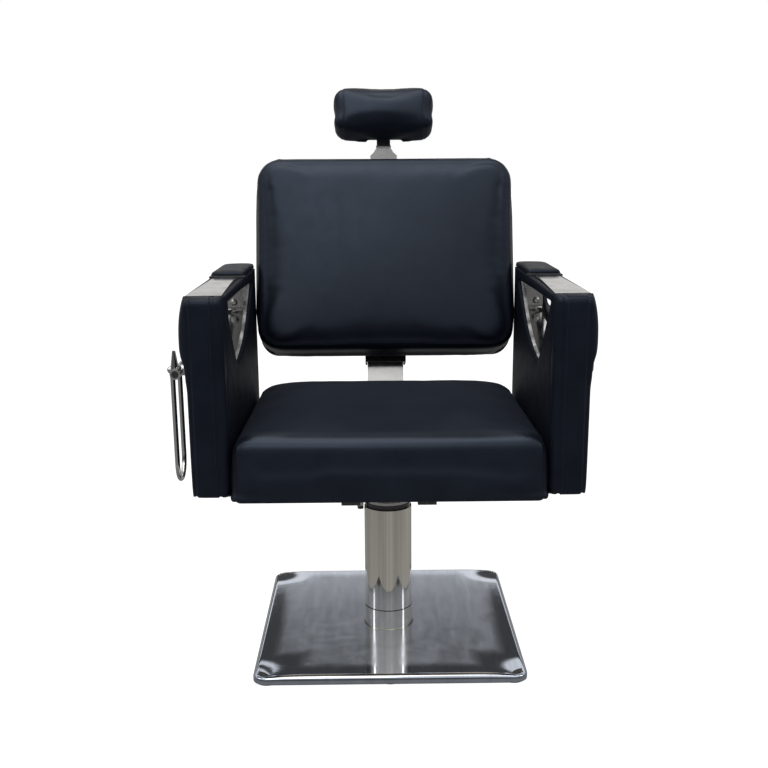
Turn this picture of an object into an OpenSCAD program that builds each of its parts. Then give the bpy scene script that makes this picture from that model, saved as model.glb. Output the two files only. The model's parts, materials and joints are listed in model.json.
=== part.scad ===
// Salon chair for threading and beauty work.
// The origin is on the floor at the column's axis, +Z is up and the sitter faces -Y.

/* [Base] */
// Width of the base
base_w = 500; // [440:5:560]
// Depth of the base
base_depth = 540; // [480:5:600]
// Distance from the column's axis to the base's front
base_front = 250; // [220:5:280]
// Radius of the base's corners, seen from above
base_corner_r = 26; // [14:1:45]
// Thickness of the steel plate under the cover
plate_t = 12.5; // [8:0.5:16]
// Thickness of the pressed stainless sheet
cover_t = 1.5; // [1:0.1:2.5]
// Radius of the cover's rolled edge
cover_edge_r = 8; // [4:0.5:9]
// Diameter of each rubber foot
foot_d = 44; // [24:1:60]
// Height of each rubber foot
foot_h = 4; // [2:0.5:8]

/* [Column] */
// Outer diameter of the polished sleeve
sleeve_d = 93; // [88:1:104]
// Length of the polished sleeve
sleeve_len = 206; // [180:1:240]
// Wall of the sleeve and of the collar
sleeve_t = 1.5; // [1:0.1:2.5]
// Height of the collar at the foot of the column
collar_h = 40; // [34:1:50]
// Diameter of the pump's outer tube
pump_d = 76; // [64:1:80]
// Diameter of the piston
piston_d = 40; // [30:1:50]
// Diameter of the spigot on which the seat turns
spigot_d = 32; // [24:1:36]
// How far the seat rises
lift_travel = 150; // [80:5:160]
// Distance from the column's axis to the pedal's pin
pedal_pin_y = 62; // [58:1:70]
// Length of the pump pedal from its pin
pedal_len = 236; // [180:2:280]

/* [Seat] */
// Width of the seat cushion
seat_w = 538; // [500:2:560]
// Depth of the seat cushion
seat_depth = 520; // [480:5:540]
// Distance from the column's axis to the seat's front
seat_front = 300; // [280:2:310]
// Height of the seat cushion at its front
seat_h = 132; // [110:1:150]
// How much lower the cushion is at its rear
seat_fall = 14; // [0:1:25]
// Radius of the seat's upper edges
seat_edge_r = 32; // [15:1:40]
// Thickness of the seat board
board_t = 15; // [9:1:18]
// Height of the seat rails
rail_h = 32; // [26:1:40]
// Thickness of the arm straps
strap_t = 8; // [5:1:12]

/* [Arms] */
// Thickness of each arm
arm_w = 67; // [62:1:84]
// Height of each arm
arm_h = 337; // [320:1:370]
// Distance from the seat's front back to the arms' front
arm_setback = 10; // [0:1:20]
// How far the arms run on behind the seat
arm_overhang = 30; // [20:1:50]
// Thickness of the arms' side and rear panels
panel_t = 12; // [9:1:14]
// Thickness of the front pads
front_pad_t = 28; // [22:1:34]
// Radius of the arms' outer rear corners
arm_rear_r = 30; // [14:1:32]
// How far the outer panel swells out
arm_swell = 10.5; // [4:0.5:14]
// Thickness of the pad on the rear of each arm's top
rear_pad_t = 12; // [8:1:18]
// Thickness of the polished steel sheet
sheet_t = 2; // [1:0.1:3]

/* [Back] */
// Gap between the back cushion and each arm
back_side_gap = 4; // [3:0.5:20]
// Height of the back cushion
back_h = 407; // [340:1:430]
// Thickness of the back cushion
back_pad_t = 92; // [70:1:100]
// Radius of the back's corners, seen from the front
back_corner_r = 42; // [25:1:60]
// Angle of the upright back from the vertical
back_tilt = 18; // [10:1:22]
// How far the back reclines from upright
recline_range = 50; // [30:1:55]
// Width of the flat spine bar
spine_w = 77; // [50:1:78]
// Thickness of the flat spine bar
spine_t = 8; // [6:1:10]
// Distance from the recline hinge up to the back's lower edge
spine_rise = 170; // [160:1:200]
// Length of the spine bar above the hinge
spine_len = 330; // [300:5:360]

/* [Recline lever] */
// Diameter of the lever's round bar
lever_bar_d = 9; // [7:0.5:11]
// Distance between the lever's two legs
lever_gap = 72; // [40:1:80]
// Length of the lever from its shaft to its lower end
lever_len = 208; // [150:1:220]
// Diameter of the lever's hub tube
hub_tube_d = 19; // [17:1:24]
// Diameter of the lever shaft and of the cross shaft
shaft_d = 12; // [10:0.5:14]
// Distance from the recline hinge to the cross shaft
quadrant_r = 65; // [60:1:68]
// Radius of the two cranks
crank_r = 28; // [22:1:32]

/* [Headrest] */
// Width of the headrest pad
rest_w = 198; // [170:2:220]
// Height of the headrest pad
rest_h = 96; // [80:2:120]
// Thickness of the headrest pad
rest_t = 62; // [45:1:75]
// Width of the headrest's flat post
post_w = 32; // [24:1:36]
// Thickness of the headrest's flat post
post_t = 6; // [4:0.5:8]
// How far the headrest slides up
rest_travel = 80; // [40:5:80]

/* [Hidden] */
$fn = 48;
overrun = 1;
// Running clearances, as radii, and the gap between faces that turn on each other
run_gap = 0.05;
face_gap = 0.3;
side_gap = 0.5;

// Column, from the floor up
cover_top = foot_h + plate_t + cover_t;
collar_top = cover_top + collar_h;
sleeve_gap = 1.5;
sleeve_z = collar_top + sleeve_gap;
sleeve_cap_t = 6;
ring_z = sleeve_z + sleeve_len;
ring_h = 9.5;
ring_step = 4;
ring_d = sleeve_d - 2 * ring_step;
head_z = ring_z + ring_h + face_gap;
disc_t = 5;
hub_z = head_z + disc_t;
hub_h = 32;
hub_d = 64;
head_plate_z = hub_z + hub_h;
head_plate_t = 8;
head_plate_w = 210;
head_plate_depth = 180;
rail_z = head_plate_z + head_plate_t;
strap_z = rail_z + rail_h;
seat_z = strap_z + strap_t;
arm_rise = 11;
arm_z = seat_z + arm_rise;

// Base and pump
base_y = base_depth / 2 - base_front;
plate_margin = 8;
skirt_gap = 1;
foot_margin = 3;
collar_d = sleeve_d + sleeve_t;
lip_w = 2;
lip_h = 1.5;
pump_foot_h = 12;
pump_z = cover_top;
pump_top_gap = 12;
pump_floor = 24;
bush_h = 12;
bush_lift = 2.5;
foot_bolt_d = 8;
foot_bolt_ring = 2 * pump_d / 3;
bolt_head_share = 1.7;
piston_reach = 190;
pedal_pin_d = 8;
pedal_lug_t = 6;
pedal_lug_r = 9;
pedal_bar_w = 20;
pedal_bar_t = 10;
pedal_pin_z = cover_top + collar_h / 2;
pedal_rise = 11;
pedal_pad_w = 78;
pedal_pad_l = 46;
pedal_pad_t = 17;
pedal_slot_w = 2 * (pedal_lug_t + pedal_bar_w / 2 + side_gap) + 3 * side_gap;

// Lug and black bolt beside the column's top
lug_out = 75;
lug_bolt_x = 54;
lug_bolt_d = 12;
lug_bolt_h = 8;
lug_w = 22;
lug_h = 17;

// Seat frame
rail_x = 52;
rail_t = 6;
rail_flange = 34;
rail_front = 180;
hinge_setback = 16;
hinge_y = seat_depth - seat_front + hinge_setback;
rail_setback = 36;
rail_rear = hinge_y - rail_setback;
strap_w = 30;
strap_front_y = -100;
strap_rear_setback = 216;
strap_rear_y = hinge_y - strap_rear_setback;
seat_bolt_d = 8;
frame_bolt_x = rail_x + rail_flange - 3 * rail_t / 2;
frame_bolt_y = 60;
board_margin = 14;
seat_draw = 3;
seat_crown = 12;
seat_corner_r = 18;
seat_lower_r = 8;
cushion_gap = 1;

// Arms
arm_x = seat_w / 2 + cushion_gap;
arm_out = arm_x + arm_w;
arm_top = arm_z + arm_h;
arm_front = seat_front - arm_setback;
arm_len = seat_depth - arm_setback + arm_overhang;
arm_rear = arm_len - arm_front;
arm_front_r = 12;
arm_inner_r = 6;
top_rail_t = 14;
bottom_rail_t = 26;
front_post_t = 18;
rear_post_t = 33;
frame_top = arm_top - sheet_t;
frame_y0 = -arm_front + front_pad_t;
frame_y1 = arm_rear - panel_t;
frame_x = arm_x + panel_t;
frame_w = arm_w - 2 * panel_t;
// Corners of the leaf-shaped opening, as shares of the arm's length and height, and how far
// round each corner starts, as a share of the arm's height
leaf_shares = [[0.086, 0.952], [0.880, 0.932], [0.594, 0.634], [0.335, 0.578]];
leaf_cut_shares = [0.03, 0.05, 0.26, 0.05];
// The same for the outer panel, whose opening runs on to the steel plate at the rear
outer_leaf_shares = [[0.086, 0.952], [0.957, 0.952], [0.957, 0.790], [0.594, 0.634], [0.335, 0.578]];
outer_leaf_cut_shares = [0.03, 0.03, 0.10, 0.26, 0.05];
leaf_lip = 1.5;
plate_front_share = 0.045;
plate_rear_share = 0.61;
plate_inset = 4;
plate_taper = 13;
stripe_w = 9;
stripe_space = 4;
stripe_t = 3;
rear_plate_high_share = 0.95;
// Floor of the steel sheet inside each arm, from its rear bend to its front end, as shares, and
// how far round each of its two bends starts, as a share of the arm's height
sheet_floor_shares = [[0.913, 0.740], [0.594, 0.634], [0.400, 0.592]];
sheet_bend_shares = [0.03, 0.20];
arm_bolt_inset = 26;
arm_bolt_x = arm_out - arm_bolt_inset;
arm_bolt_z = arm_z + 0.8 * arm_h;
arm_bolt_d = 8;
washer_d = 18;
washer_t = 1.5;
cap_d = 24;
cap_t = 5;
cap_y = -arm_front + front_pad_t - 2 * arm_bolt_d / 3;
cap_z = arm_z + 0.64 * arm_h;
swell_low_share = 0.68;
mount_bolt_x = frame_x + 0.65 * frame_w;
rear_pad_y = -arm_front + plate_rear_share * arm_len + 2 * stripe_w + stripe_space;
rear_pad_edge_r = 6;

// Back, in its own frame: the hinge is the origin, +Z runs up the back and +Y to the rear
back_w = 2 * (arm_x - back_side_gap);
hinge_z = rail_z + 0.62 * rail_h;
hinge_pin_d = 14;
knuckle_d = 26;
back_board_t = 12;
shell_t = 8;
shell_wall = 6;
bracket_depth = 44;
bracket_t = 4;
shell_y = -spine_t / 2 - bracket_depth;
board_y = shell_y - shell_t;
pad_y = board_y - back_board_t;
shell_margin = 4;
shell_edge_r = 8;
back_draw = 4;
back_crown = 7;
back_edge_r = 22;
back_lower_r = 10;
bracket_drop = 9;
bracket_z = spine_rise - bracket_drop;
bracket_len = 160;
bracket_w = spine_w + 2 * bracket_t + 2 * side_gap;
bracket_screw_d = 6;
bracket_screw_x = 7;
spine_bolt_d = 10;
spine_bolt_shares = [0.25, 0.81];

// Recline lock: a slotted quadrant turns with the back and is clamped on the cross shaft
quadrant_t = 8;
quadrant_rim = 14;
quadrant_start = 235;
cross_y = hinge_y + quadrant_r * cos(quadrant_start);
cross_z = hinge_z + quadrant_r * sin(quadrant_start);
shaft_r = shaft_d / 2;
ear_r = 15;
clamp_nut_d = 22;
clamp_nut_t = 11;
crank_t = 8;
crank_x = frame_x + (frame_w - crank_t) / 2 - crank_t / 2;
crank_end_r = 10;
pin_d = 8;
rod_t = 6;
rod_w = 12;
pin_head_t = 3;
lever_y = -100;
lever_z = arm_z + 0.548 * arm_h;
rod_run = [cross_y - lever_y, cross_z - lever_z];
rod_angle = atan2(rod_run[1], rod_run[0]);
crank_angle = rod_angle - 90;
crank_arm = crank_r * [cos(crank_angle), sin(crank_angle)];
rod_pin = [lever_y, lever_z] + crank_arm;
hanger_t = 6;
hanger_x = frame_x;
bush_flange_d = 36;
bush_flange_t = 6;
bush_d = 20;
bush_len = 24;
lever_reach = 41;
lever_x = arm_out + lever_reach;
leg_step = 6;
leg_x = lever_x + leg_step;
hub_overhang = 11;
hub_len = lever_gap + 2 * hub_overhang;
plug_d = 13;
plug_len = 8;
nut_d = 14;
nut_washer_t = 2;
nut_washer_d = 17;
stud_d = 17;
stud_tip_d = 6;
stud_h = 38;
stud_inset = 1;
stud_x = leg_x - stud_inset;
stud_forward = 18;
stud_y = lever_y - stud_forward;

// Headrest, in the back's frame
guide_w = 57;
guide_depth = 24;
guide_z = spine_rise + 0.74 * back_h;
guide_len = 149;
guide_taper = 14;
guide_lip = 1;
guide_y = shell_y;
post_gap = 0.1;
post_y = guide_y + guide_depth / 2 - post_t / 2;
post_end_gap = 5;
post_z = guide_z + post_end_gap;
tilt_rise = 74;
tilt_z = spine_rise + back_h + tilt_rise;
tilt_setback = 2;
tilt_y = post_y + post_t / 2 + tilt_setback;
tilt_pin_d = 6;
tilt_knuckle_d = 14;
tilt_knuckle_w = 20;
ear_t = 4;
collar_w = 29;
post_collar_h = 12.5;
post_collar_depth = 14;
collar_z = tilt_z - tilt_knuckle_d / 2 - side_gap - post_collar_h;
rest_plate_t = 3;
rest_board_t = 8;
rest_plate_gap = 2;
rest_y = tilt_y - tilt_knuckle_d / 2 - rest_plate_gap - rest_plate_t;
rest_drop = 14;
rest_z = tilt_z - rest_drop;
rest_under = 17;
rest_crown = 6;
rest_draw = 4;
rest_edge_r = 14;
rest_corner_r = 18;
knob_rise = 110;
knob_z = guide_z + knob_rise;
knob_d = 34;
knob_t = 18;
knob_neck_d = 16;
knob_neck_t = 5;
knob_screw_d = 8;
knob_lobes = 5;

// Facets of the soft forms
corner_n = 4;
side_n = 5;
edge_n = 4;
crown_n = 4;
soft_steps = 6;

// Direction from one point to another
function unit(v) = v / norm(v);

// Curve that rounds the corner v between a and b and starts a cut away from it
function soft_corner(a, v, b, cut) =
    let (p = v + cut * unit(a - v), q = v + cut * unit(b - v))
    [for (i = [0:soft_steps]) let (t = i / soft_steps) (1 - t) ^ 2 * p + 2 * t * (1 - t) * v + t ^ 2 * q];

// Closed outline whose corners are rounded, each by its own cut
function soft_outline(points, cuts) =
    let (n = len(points))
    [for (i = [0:n - 1]) each soft_corner(points[(i + n - 1) % n], points[i], points[(i + 1) % n], cuts[i])];

// Opening of an arm in the side view, from shares of the arm's length and height
function leaf_outline(shares, cut_shares) = soft_outline(
    [for (s = shares) [s[0] * arm_len - arm_front, s[1] * arm_h + arm_z]],
    [for (c = cut_shares) c * arm_h]);

// Ring of a rounded rectangle whose sides are drawn in between its corners
function ring_points(w, d, r, draw) = [
    for (q = [0:3])
        let (
            here = [(q == 0 || q == 3 ? 1 : -1) * (w / 2 - r), (q < 2 ? 1 : -1) * (d / 2 - r)],
            next = [(q == 0 || q == 3 ? -1 : 1) * (w / 2 - r) * (q % 2 == 0 ? 1 : -1),
                    (q < 2 ? 1 : -1) * (d / 2 - r) * (q % 2 == 0 ? 1 : -1)],
            out = [cos(90 * (q + 1)), sin(90 * (q + 1))]
        )
        each concat(
            [for (i = [0:corner_n]) here + r * [cos(90 * (q + i / corner_n)), sin(90 * (q + i / corner_n))]],
            [for (i = [1:side_n]) let (t = i / (side_n + 1))
                (1 - t) * here + t * next + (r - 4 * t * (1 - t) * draw) * out])
];

// Levels of a cushion as [inset, height, share of the outline, share of the draw, crowned or not],
// from below: a small lower edge, a round upper edge, then rings over the crown
function cushion_levels(t, lower_r, edge_r, crown) = concat(
    [for (i = [0:edge_n]) let (a = 90 * i / edge_n)
        [lower_r * (1 - sin(a)), lower_r * (1 - cos(a)), 1, sin(a), 0]],
    [for (i = [0:edge_n]) let (a = 90 * i / edge_n)
        [edge_r * (1 - cos(a)), t - crown - edge_r * (1 - sin(a)), 1, 1, 0]],
    [for (i = [1:crown_n]) [edge_r, t - crown, 1 - i / (crown_n + 1), 1, 1]]);

// Rise of the crown at a point, highest in the middle and nothing along the edges
function crown_rise(x, y, w, d, crown) =
    crown * max(0, 1 - (2 * x / w) ^ 2) * max(0, 1 - (2 * y / d) ^ 2);

// Crowned cushion that lies on the XY plane. fall lowers its rear, and under lifts its front edge
// towards the top face.
module cushion(w, d, t, corner_r, lower_r, edge_r, crown, draw, fall = 0, under = 0) {
    levels = cushion_levels(t, lower_r, edge_r, crown);
    count = 4 * (corner_n + 1 + side_n);
    rings = [for (l = levels)
        let (r = corner_r * (1 - l[0] / (2 * edge_r)))
        [for (p = ring_points(w - 2 * l[0], d - 2 * l[0], r, draw * l[3]))
            let (x = p[0] * l[2], y = p[1] * l[2])
            [x, y, l[1] + l[4] * crown_rise(x, y, w - 2 * edge_r, d - 2 * edge_r, crown)]]];
    flat_points = concat([[0, 0, 0]], [for (ring = rings) each ring], [[0, 0, t]]);
    points = [for (p = flat_points) [
        p[0],
        p[1] + under * (p[2] / t) * max(0, -2 * p[1] / d),
        p[2] * (1 - fall / t * (0.5 + p[1] / d))]];
    last = len(points) - 1;
    top = last - count;
    faces = concat(
        [for (i = [0:count - 1]) [0, 1 + i, 1 + (i + 1) % count]],
        [for (k = [0:len(levels) - 2]) for (i = [0:count - 1])
            let (a = 1 + k * count + i, b = 1 + k * count + (i + 1) % count)
            each [[a, a + count, b], [b, a + count, b + count]]],
        [for (i = [0:count - 1]) [top + i, last, top + (i + 1) % count]]);
    polyhedron(points, faces);
}

// Outline in the Y-Z plane carried along X
module along_x(x, length) {
    translate([x, 0, 0]) rotate([90, 0, 90]) linear_extrude(length) children();
}

// Rod along X with its centre at [y, z]
module rod_x(x, length, d, y, z) {
    translate([x, y, z]) rotate([0, 90, 0]) cylinder(d = d, h = length);
}

// Rod along Y with its centre at [x, z]
module rod_y(y, length, d, x, z) {
    translate([x, y, z]) rotate([-90, 0, 0]) cylinder(d = d, h = length);
}

// Rectangle with round corners, centred
module rounded_rect(w, d, r) {
    square([w - 2 * r, d], center = true);
    square([w, d - 2 * r], center = true);
    for (x = [-1, 1]) for (y = [-1, 1]) translate([x * (w / 2 - r), y * (d / 2 - r)]) circle(r);
}

// Slab with round corners and a rolled upper edge
module rolled_slab(w, d, h, corner_r, edge_r) {
    linear_extrude(h - edge_r) rounded_rect(w, d, corner_r);
    linear_extrude(h) rounded_rect(w - 2 * edge_r, d - 2 * edge_r, corner_r - edge_r);
    for (turn = [0:3]) rotate([0, 0, 90 * turn]) {
        along = turn % 2 == 0 ? w : d;
        across = turn % 2 == 0 ? d : w;
        rod_x(-along / 2 + corner_r, along - 2 * corner_r, 2 * edge_r, across / 2 - edge_r, h - edge_r);
        translate([along / 2 - corner_r, across / 2 - corner_r, h - edge_r]) rotate_extrude() {
            square([corner_r - edge_r, edge_r]);
            translate([corner_r - edge_r, 0]) intersection() {
                circle(edge_r);
                square(edge_r);
            }
        }
    }
}

// Hexagon-headed bolt pointing up, with its head below the given height
module hex_bolt(d, length, head_h) {
    cylinder(d = d, h = length);
    translate([0, 0, -head_h]) cylinder(d = bolt_head_share * d, h = head_h, $fn = 6);
}

// Base

module base_plate() {
    color("dimgray") difference() {
        translate([0, base_y, foot_h]) linear_extrude(plate_t)
            rounded_rect(base_w - 2 * plate_margin, base_depth - 2 * plate_margin, base_corner_r - plate_margin);
        at_foot_bolts() translate([0, 0, -overrun]) cylinder(d = foot_bolt_d, h = cover_top);
        at_foot_bolts() cylinder(d = bolt_head_share * foot_bolt_d + 2 * side_gap, h = foot_h + foot_bolt_d);
    }
}

module base_cover() {
    color("lightgray") difference() {
        translate([0, base_y, foot_h - skirt_gap])
            rolled_slab(base_w, base_depth, cover_top - foot_h + skirt_gap, base_corner_r, cover_edge_r);
        translate([0, base_y, foot_h - skirt_gap - overrun])
            rolled_slab(base_w - 2 * cover_t, base_depth - 2 * cover_t,
                cover_top - cover_t - foot_h + skirt_gap + overrun,
                base_corner_r - cover_t, cover_edge_r - cover_t);
        at_foot_bolts() cylinder(d = foot_bolt_d, h = cover_top + overrun);
    }
}

module base_feet() {
    reach_x = (base_w - foot_d) / 2 - foot_margin;
    reach_y = (base_depth - foot_d) / 2 - foot_margin;
    color("black") for (x = [-1:1]) for (y = [-1:1]) translate([x * reach_x, base_y + y * reach_y, 0])
        cylinder(d = foot_d, h = foot_h);
}

module at_foot_bolts() {
    for (turn = [0:3]) rotate([0, 0, 45 + 90 * turn]) translate([foot_bolt_ring / 2, 0, 0]) children();
}

module foot_bolts() {
    color("silver") at_foot_bolts() translate([0, 0, foot_h + foot_bolt_d])
        hex_bolt(foot_bolt_d, plate_t + cover_t - foot_bolt_d + pump_foot_h / 2, foot_bolt_d / 2);
}

module pump_cylinder() {
    pump_top = ring_z - sleeve_cap_t - pump_top_gap;
    color("dimgray") difference() {
        union() {
            translate([0, 0, pump_z]) cylinder(d = collar_d - 2 * sleeve_t, h = pump_foot_h);
            translate([0, 0, pump_z]) cylinder(d = pump_d, h = pump_top - pump_z);
            for (side = [-1, 1]) pedal_lug(side);
        }
        translate([0, 0, pump_z + pump_floor]) cylinder(d = piston_d + 2 * run_gap, h = pump_top);
        at_foot_bolts() translate([0, 0, pump_z - overrun])
            cylinder(d = foot_bolt_d, h = overrun + pump_foot_h / 2);
        rod_x(-pedal_bar_w, 2 * pedal_bar_w, pedal_pin_d, pedal_pin_y, pedal_pin_z);
    }
}

module pedal_lug(side) {
    inner = pedal_bar_w / 2 + side_gap;
    along_x(side > 0 ? inner : -inner - pedal_lug_t, pedal_lug_t) {
        translate([pedal_pin_y, pedal_pin_z]) circle(pedal_lug_r);
        translate([pump_d / 3, pedal_pin_z - pedal_lug_r])
            square([pedal_pin_y - pump_d / 3, 2 * pedal_lug_r]);
    }
}

module column_collar() {
    color("gainsboro") difference() {
        union() {
            translate([0, 0, cover_top]) cylinder(d = collar_d, h = collar_h);
            translate([0, 0, cover_top]) cylinder(d = collar_d + 2 * lip_w, h = lip_h);
        }
        translate([0, 0, cover_top - overrun])
            cylinder(d = collar_d - 2 * sleeve_t, h = collar_h + 2 * overrun);
        translate([-pedal_slot_w / 2, 0, cover_top + lip_h])
            cube([pedal_slot_w, collar_d, collar_h]);
    }
}

module pedal_pin() {
    reach = pedal_bar_w / 2 + side_gap + pedal_lug_t;
    color("silver") rod_x(-reach, 2 * reach, pedal_pin_d, pedal_pin_y, pedal_pin_z);
}

// Pump pedal, raised at rest

module at_pedal() {
    translate([0, pedal_pin_y, pedal_pin_z]) rotate([pedal_rise, 0, 0]) children();
}

module pump_pedal() {
    color("gainsboro") at_pedal() difference() {
        along_x(-pedal_bar_w / 2, pedal_bar_w) {
            circle(pedal_lug_r);
            translate([0, -pedal_bar_t / 2]) square([pedal_len, pedal_bar_t]);
            translate([pedal_len, 0]) circle(pedal_bar_t / 2);
        }
        rod_x(-pedal_bar_w, 2 * pedal_bar_w, pedal_pin_d + 2 * run_gap, 0, 0);
    }
}

module pedal_pad() {
    pad_y = pedal_len - pedal_pad_l / 2;
    color("black") at_pedal() difference() {
        translate([0, pad_y, -pedal_pad_t / 2]) linear_extrude(pedal_pad_t)
            rounded_rect(pedal_pad_w, pedal_pad_l, pedal_pad_t / 2);
        along_x(-pedal_bar_w / 2, pedal_bar_w) {
            translate([0, -pedal_bar_t / 2]) square([pedal_len, pedal_bar_t]);
            translate([pedal_len, 0]) circle(pedal_bar_t / 2);
        }
    }
}

// Rising part of the column

module piston_rod() {
    color("silver") {
        translate([0, 0, ring_z - piston_reach]) cylinder(d = piston_d, h = piston_reach);
        translate([0, 0, ring_z]) cylinder(d = spigot_d, h = head_plate_z - ring_z - face_gap);
    }
}

module column_sleeve() {
    color("gainsboro") difference() {
        translate([0, 0, sleeve_z]) cylinder(d = sleeve_d, h = sleeve_len);
        translate([0, 0, sleeve_z - overrun])
            cylinder(d = sleeve_d - 2 * sleeve_t, h = sleeve_len - sleeve_cap_t + overrun);
        translate([0, 0, sleeve_z]) cylinder(d = piston_d, h = sleeve_len + overrun);
    }
}

module guide_bush() {
    color("ivory") translate([0, 0, sleeve_z + bush_lift]) difference() {
        cylinder(d = sleeve_d - 2 * sleeve_t, h = bush_h);
        translate([0, 0, -overrun]) cylinder(d = pump_d + 2 * run_gap, h = bush_h + 2 * overrun);
    }
}

module sleeve_ring() {
    color("black") translate([0, 0, ring_z]) difference() {
        cylinder(d = ring_d, h = ring_h);
        translate([0, 0, -overrun]) cylinder(d = spigot_d, h = ring_h + 2 * overrun);
    }
}

// Seat frame

module swivel_head() {
    color("silver") difference() {
        union() {
            translate([0, 0, head_z]) cylinder(d = ring_d, h = disc_t);
            translate([0, 0, hub_z]) cylinder(d = hub_d, h = hub_h);
            translate([0, 0, head_plate_z]) linear_extrude(head_plate_t)
                rounded_rect(head_plate_w, head_plate_depth, head_plate_t);
            head_lug();
        }
        translate([0, 0, head_z - overrun])
            cylinder(d = spigot_d + 2 * run_gap, h = head_plate_z - head_z + overrun);
        at_frame_bolts() translate([0, 0, head_plate_z - overrun])
            cylinder(d = seat_bolt_d, h = head_plate_t + 2 * overrun);
        rod_z(-lug_bolt_x, lug_bolt_d / 2, head_z - lug_h, lug_h);
    }
}

// Tapered lug on the head flange, with the black bolt below it
module head_lug() {
    block = lug_bolt_x - (sleeve_d / 2 + sleeve_t);
    translate([0, lug_w / 2, 0]) rotate([90, 0, 0]) linear_extrude(lug_w) polygon([
        [-lug_out, hub_z],
        [-lug_out, head_z],
        [-lug_bolt_x - block, head_z - lug_h + lug_bolt_h],
        [-lug_bolt_x + block, head_z - lug_h + lug_bolt_h],
        [-lug_bolt_x + block, head_z],
        [0, head_z],
        [0, hub_z]]);
}

// Rod along Z at a distance from the column's axis
module rod_z(x, d, z, length) {
    translate([x, 0, z]) cylinder(d = d, h = length);
}

module lug_bolt() {
    color("black") {
        rod_z(-lug_bolt_x, lug_bolt_d, head_z - lug_h, lug_bolt_h);
        rod_z(-lug_bolt_x, lug_bolt_d / 2, head_z - lug_h + lug_bolt_h, lug_h - lug_bolt_h);
    }
}

// Ear of a rail, around the hinge pin and the cross shaft
module rail_ear_outline() {
    translate([hinge_y, hinge_z]) circle(ear_r);
    translate([cross_y, cross_z]) circle(ear_r);
    bar_outline([hinge_y, hinge_z], [cross_y, cross_z], 2 * ear_r);
    translate([rail_rear - 2 * ear_r, rail_z]) square([hinge_y - rail_rear + 2 * ear_r, rail_h]);
}

// Straight bar between two points of a plane
module bar_outline(a, b, w) {
    translate(a) rotate(atan2(b[1] - a[1], b[0] - a[0])) translate([0, -w / 2]) square([norm(b - a), w]);
}

module seat_rail() {
    difference() {
        union() {
            translate([rail_x, -rail_front, rail_z]) cube([rail_t, rail_front + rail_rear, rail_h]);
            for (z = [rail_z, strap_z - rail_t]) translate([rail_x, -rail_front, z])
                cube([rail_flange, rail_front + rail_rear, rail_t]);
            along_x(rail_x, rail_t) rail_ear_outline();
        }
        rod_x(rail_x - overrun, rail_t + 2 * overrun, hinge_pin_d, hinge_y, hinge_z);
        rod_x(rail_x - overrun, rail_t + 2 * overrun, shaft_d + 2 * run_gap, cross_y, cross_z);
        at_frame_bolts() translate([0, 0, rail_z - overrun]) cylinder(d = seat_bolt_d, h = rail_t + 2 * overrun);
        at_strap_bolts() translate([0, 0, strap_z - rail_t - overrun])
            cylinder(d = seat_bolt_d, h = rail_t + 2 * overrun);
    }
}

module seat_rails() {
    color("dimgray") for (side = [-1, 1]) on_side(side) seat_rail();
}

module on_side(side) {
    if (side < 0) mirror([1, 0, 0]) children();
    if (side > 0) children();
}

module at_frame_bolts() {
    for (x = [-1, 1]) for (y = [-1, 1]) translate([x * frame_bolt_x, y * frame_bolt_y, 0]) children();
}

module at_strap_bolts() {
    for (x = [-1, 1]) for (y = [strap_front_y, strap_rear_y]) translate([x * frame_bolt_x, y, 0]) children();
}

module at_mount_bolts() {
    for (x = [-1, 1]) for (y = [strap_front_y, strap_rear_y]) translate([x * mount_bolt_x, y, 0]) children();
}

module arm_strap(y) {
    color("dimgray") difference() {
        translate([0, y, 0]) union() {
            translate([-frame_x - frame_w, -strap_w / 2, strap_z]) cube([2 * (frame_x + frame_w), strap_w, strap_t]);
            for (side = [-1, 1]) on_side(side)
                translate([frame_x, -strap_w / 2, strap_z + strap_t]) cube([frame_w, strap_w, arm_rise]);
        }
        at_strap_bolts() translate([0, 0, strap_z - overrun]) cylinder(d = seat_bolt_d, h = strap_t + 2 * overrun);
        at_mount_bolts() translate([0, 0, strap_z - overrun])
            cylinder(d = seat_bolt_d, h = strap_t + arm_rise + 2 * overrun);
    }
}

module seat_bolts() {
    nut_h = seat_bolt_d / 2;
    color("silver") {
        at_frame_bolts() translate([0, 0, head_plate_z])
            hex_bolt(seat_bolt_d, head_plate_t + rail_t + seat_bolt_d, nut_h);
        at_frame_bolts() translate([0, 0, rail_z + rail_t])
            cylinder(d = bolt_head_share * seat_bolt_d, h = nut_h, $fn = 6);
        at_strap_bolts() translate([0, 0, strap_z - rail_t])
            hex_bolt(seat_bolt_d, rail_t + strap_t + board_t / 2, nut_h);
        at_mount_bolts() translate([0, 0, strap_z])
            hex_bolt(seat_bolt_d, strap_t + arm_rise + bottom_rail_t / 2, nut_h);
    }
}

module seat_board_form(grow) {
    translate([0, seat_depth / 2 - seat_front, seat_z - grow]) linear_extrude(board_t + grow)
        rounded_rect(seat_w - 2 * board_margin, seat_depth - 2 * board_margin, seat_corner_r);
}

module seat_board() {
    color("burlywood") difference() {
        seat_board_form(0);
        at_strap_bolts() translate([0, 0, seat_z - overrun]) cylinder(d = seat_bolt_d, h = overrun + board_t / 2);
    }
}

module seat_cushion() {
    color("#2b3038") difference() {
        translate([0, seat_depth / 2 - seat_front, seat_z])
            cushion(seat_w, seat_depth, seat_h, seat_corner_r, seat_lower_r, seat_edge_r, seat_crown,
                seat_draw, fall = seat_fall);
        seat_board_form(overrun);
    }
}

module hinge_pin() {
    reach = rail_x + rail_t + pin_head_t;
    color("silver") {
        rod_x(-reach, 2 * reach, hinge_pin_d, hinge_y, hinge_z);
        for (side = [-1, 1]) on_side(side)
            rod_x(reach - pin_head_t, pin_head_t, knuckle_d, hinge_y, hinge_z);
    }
}

// Arms

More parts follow.
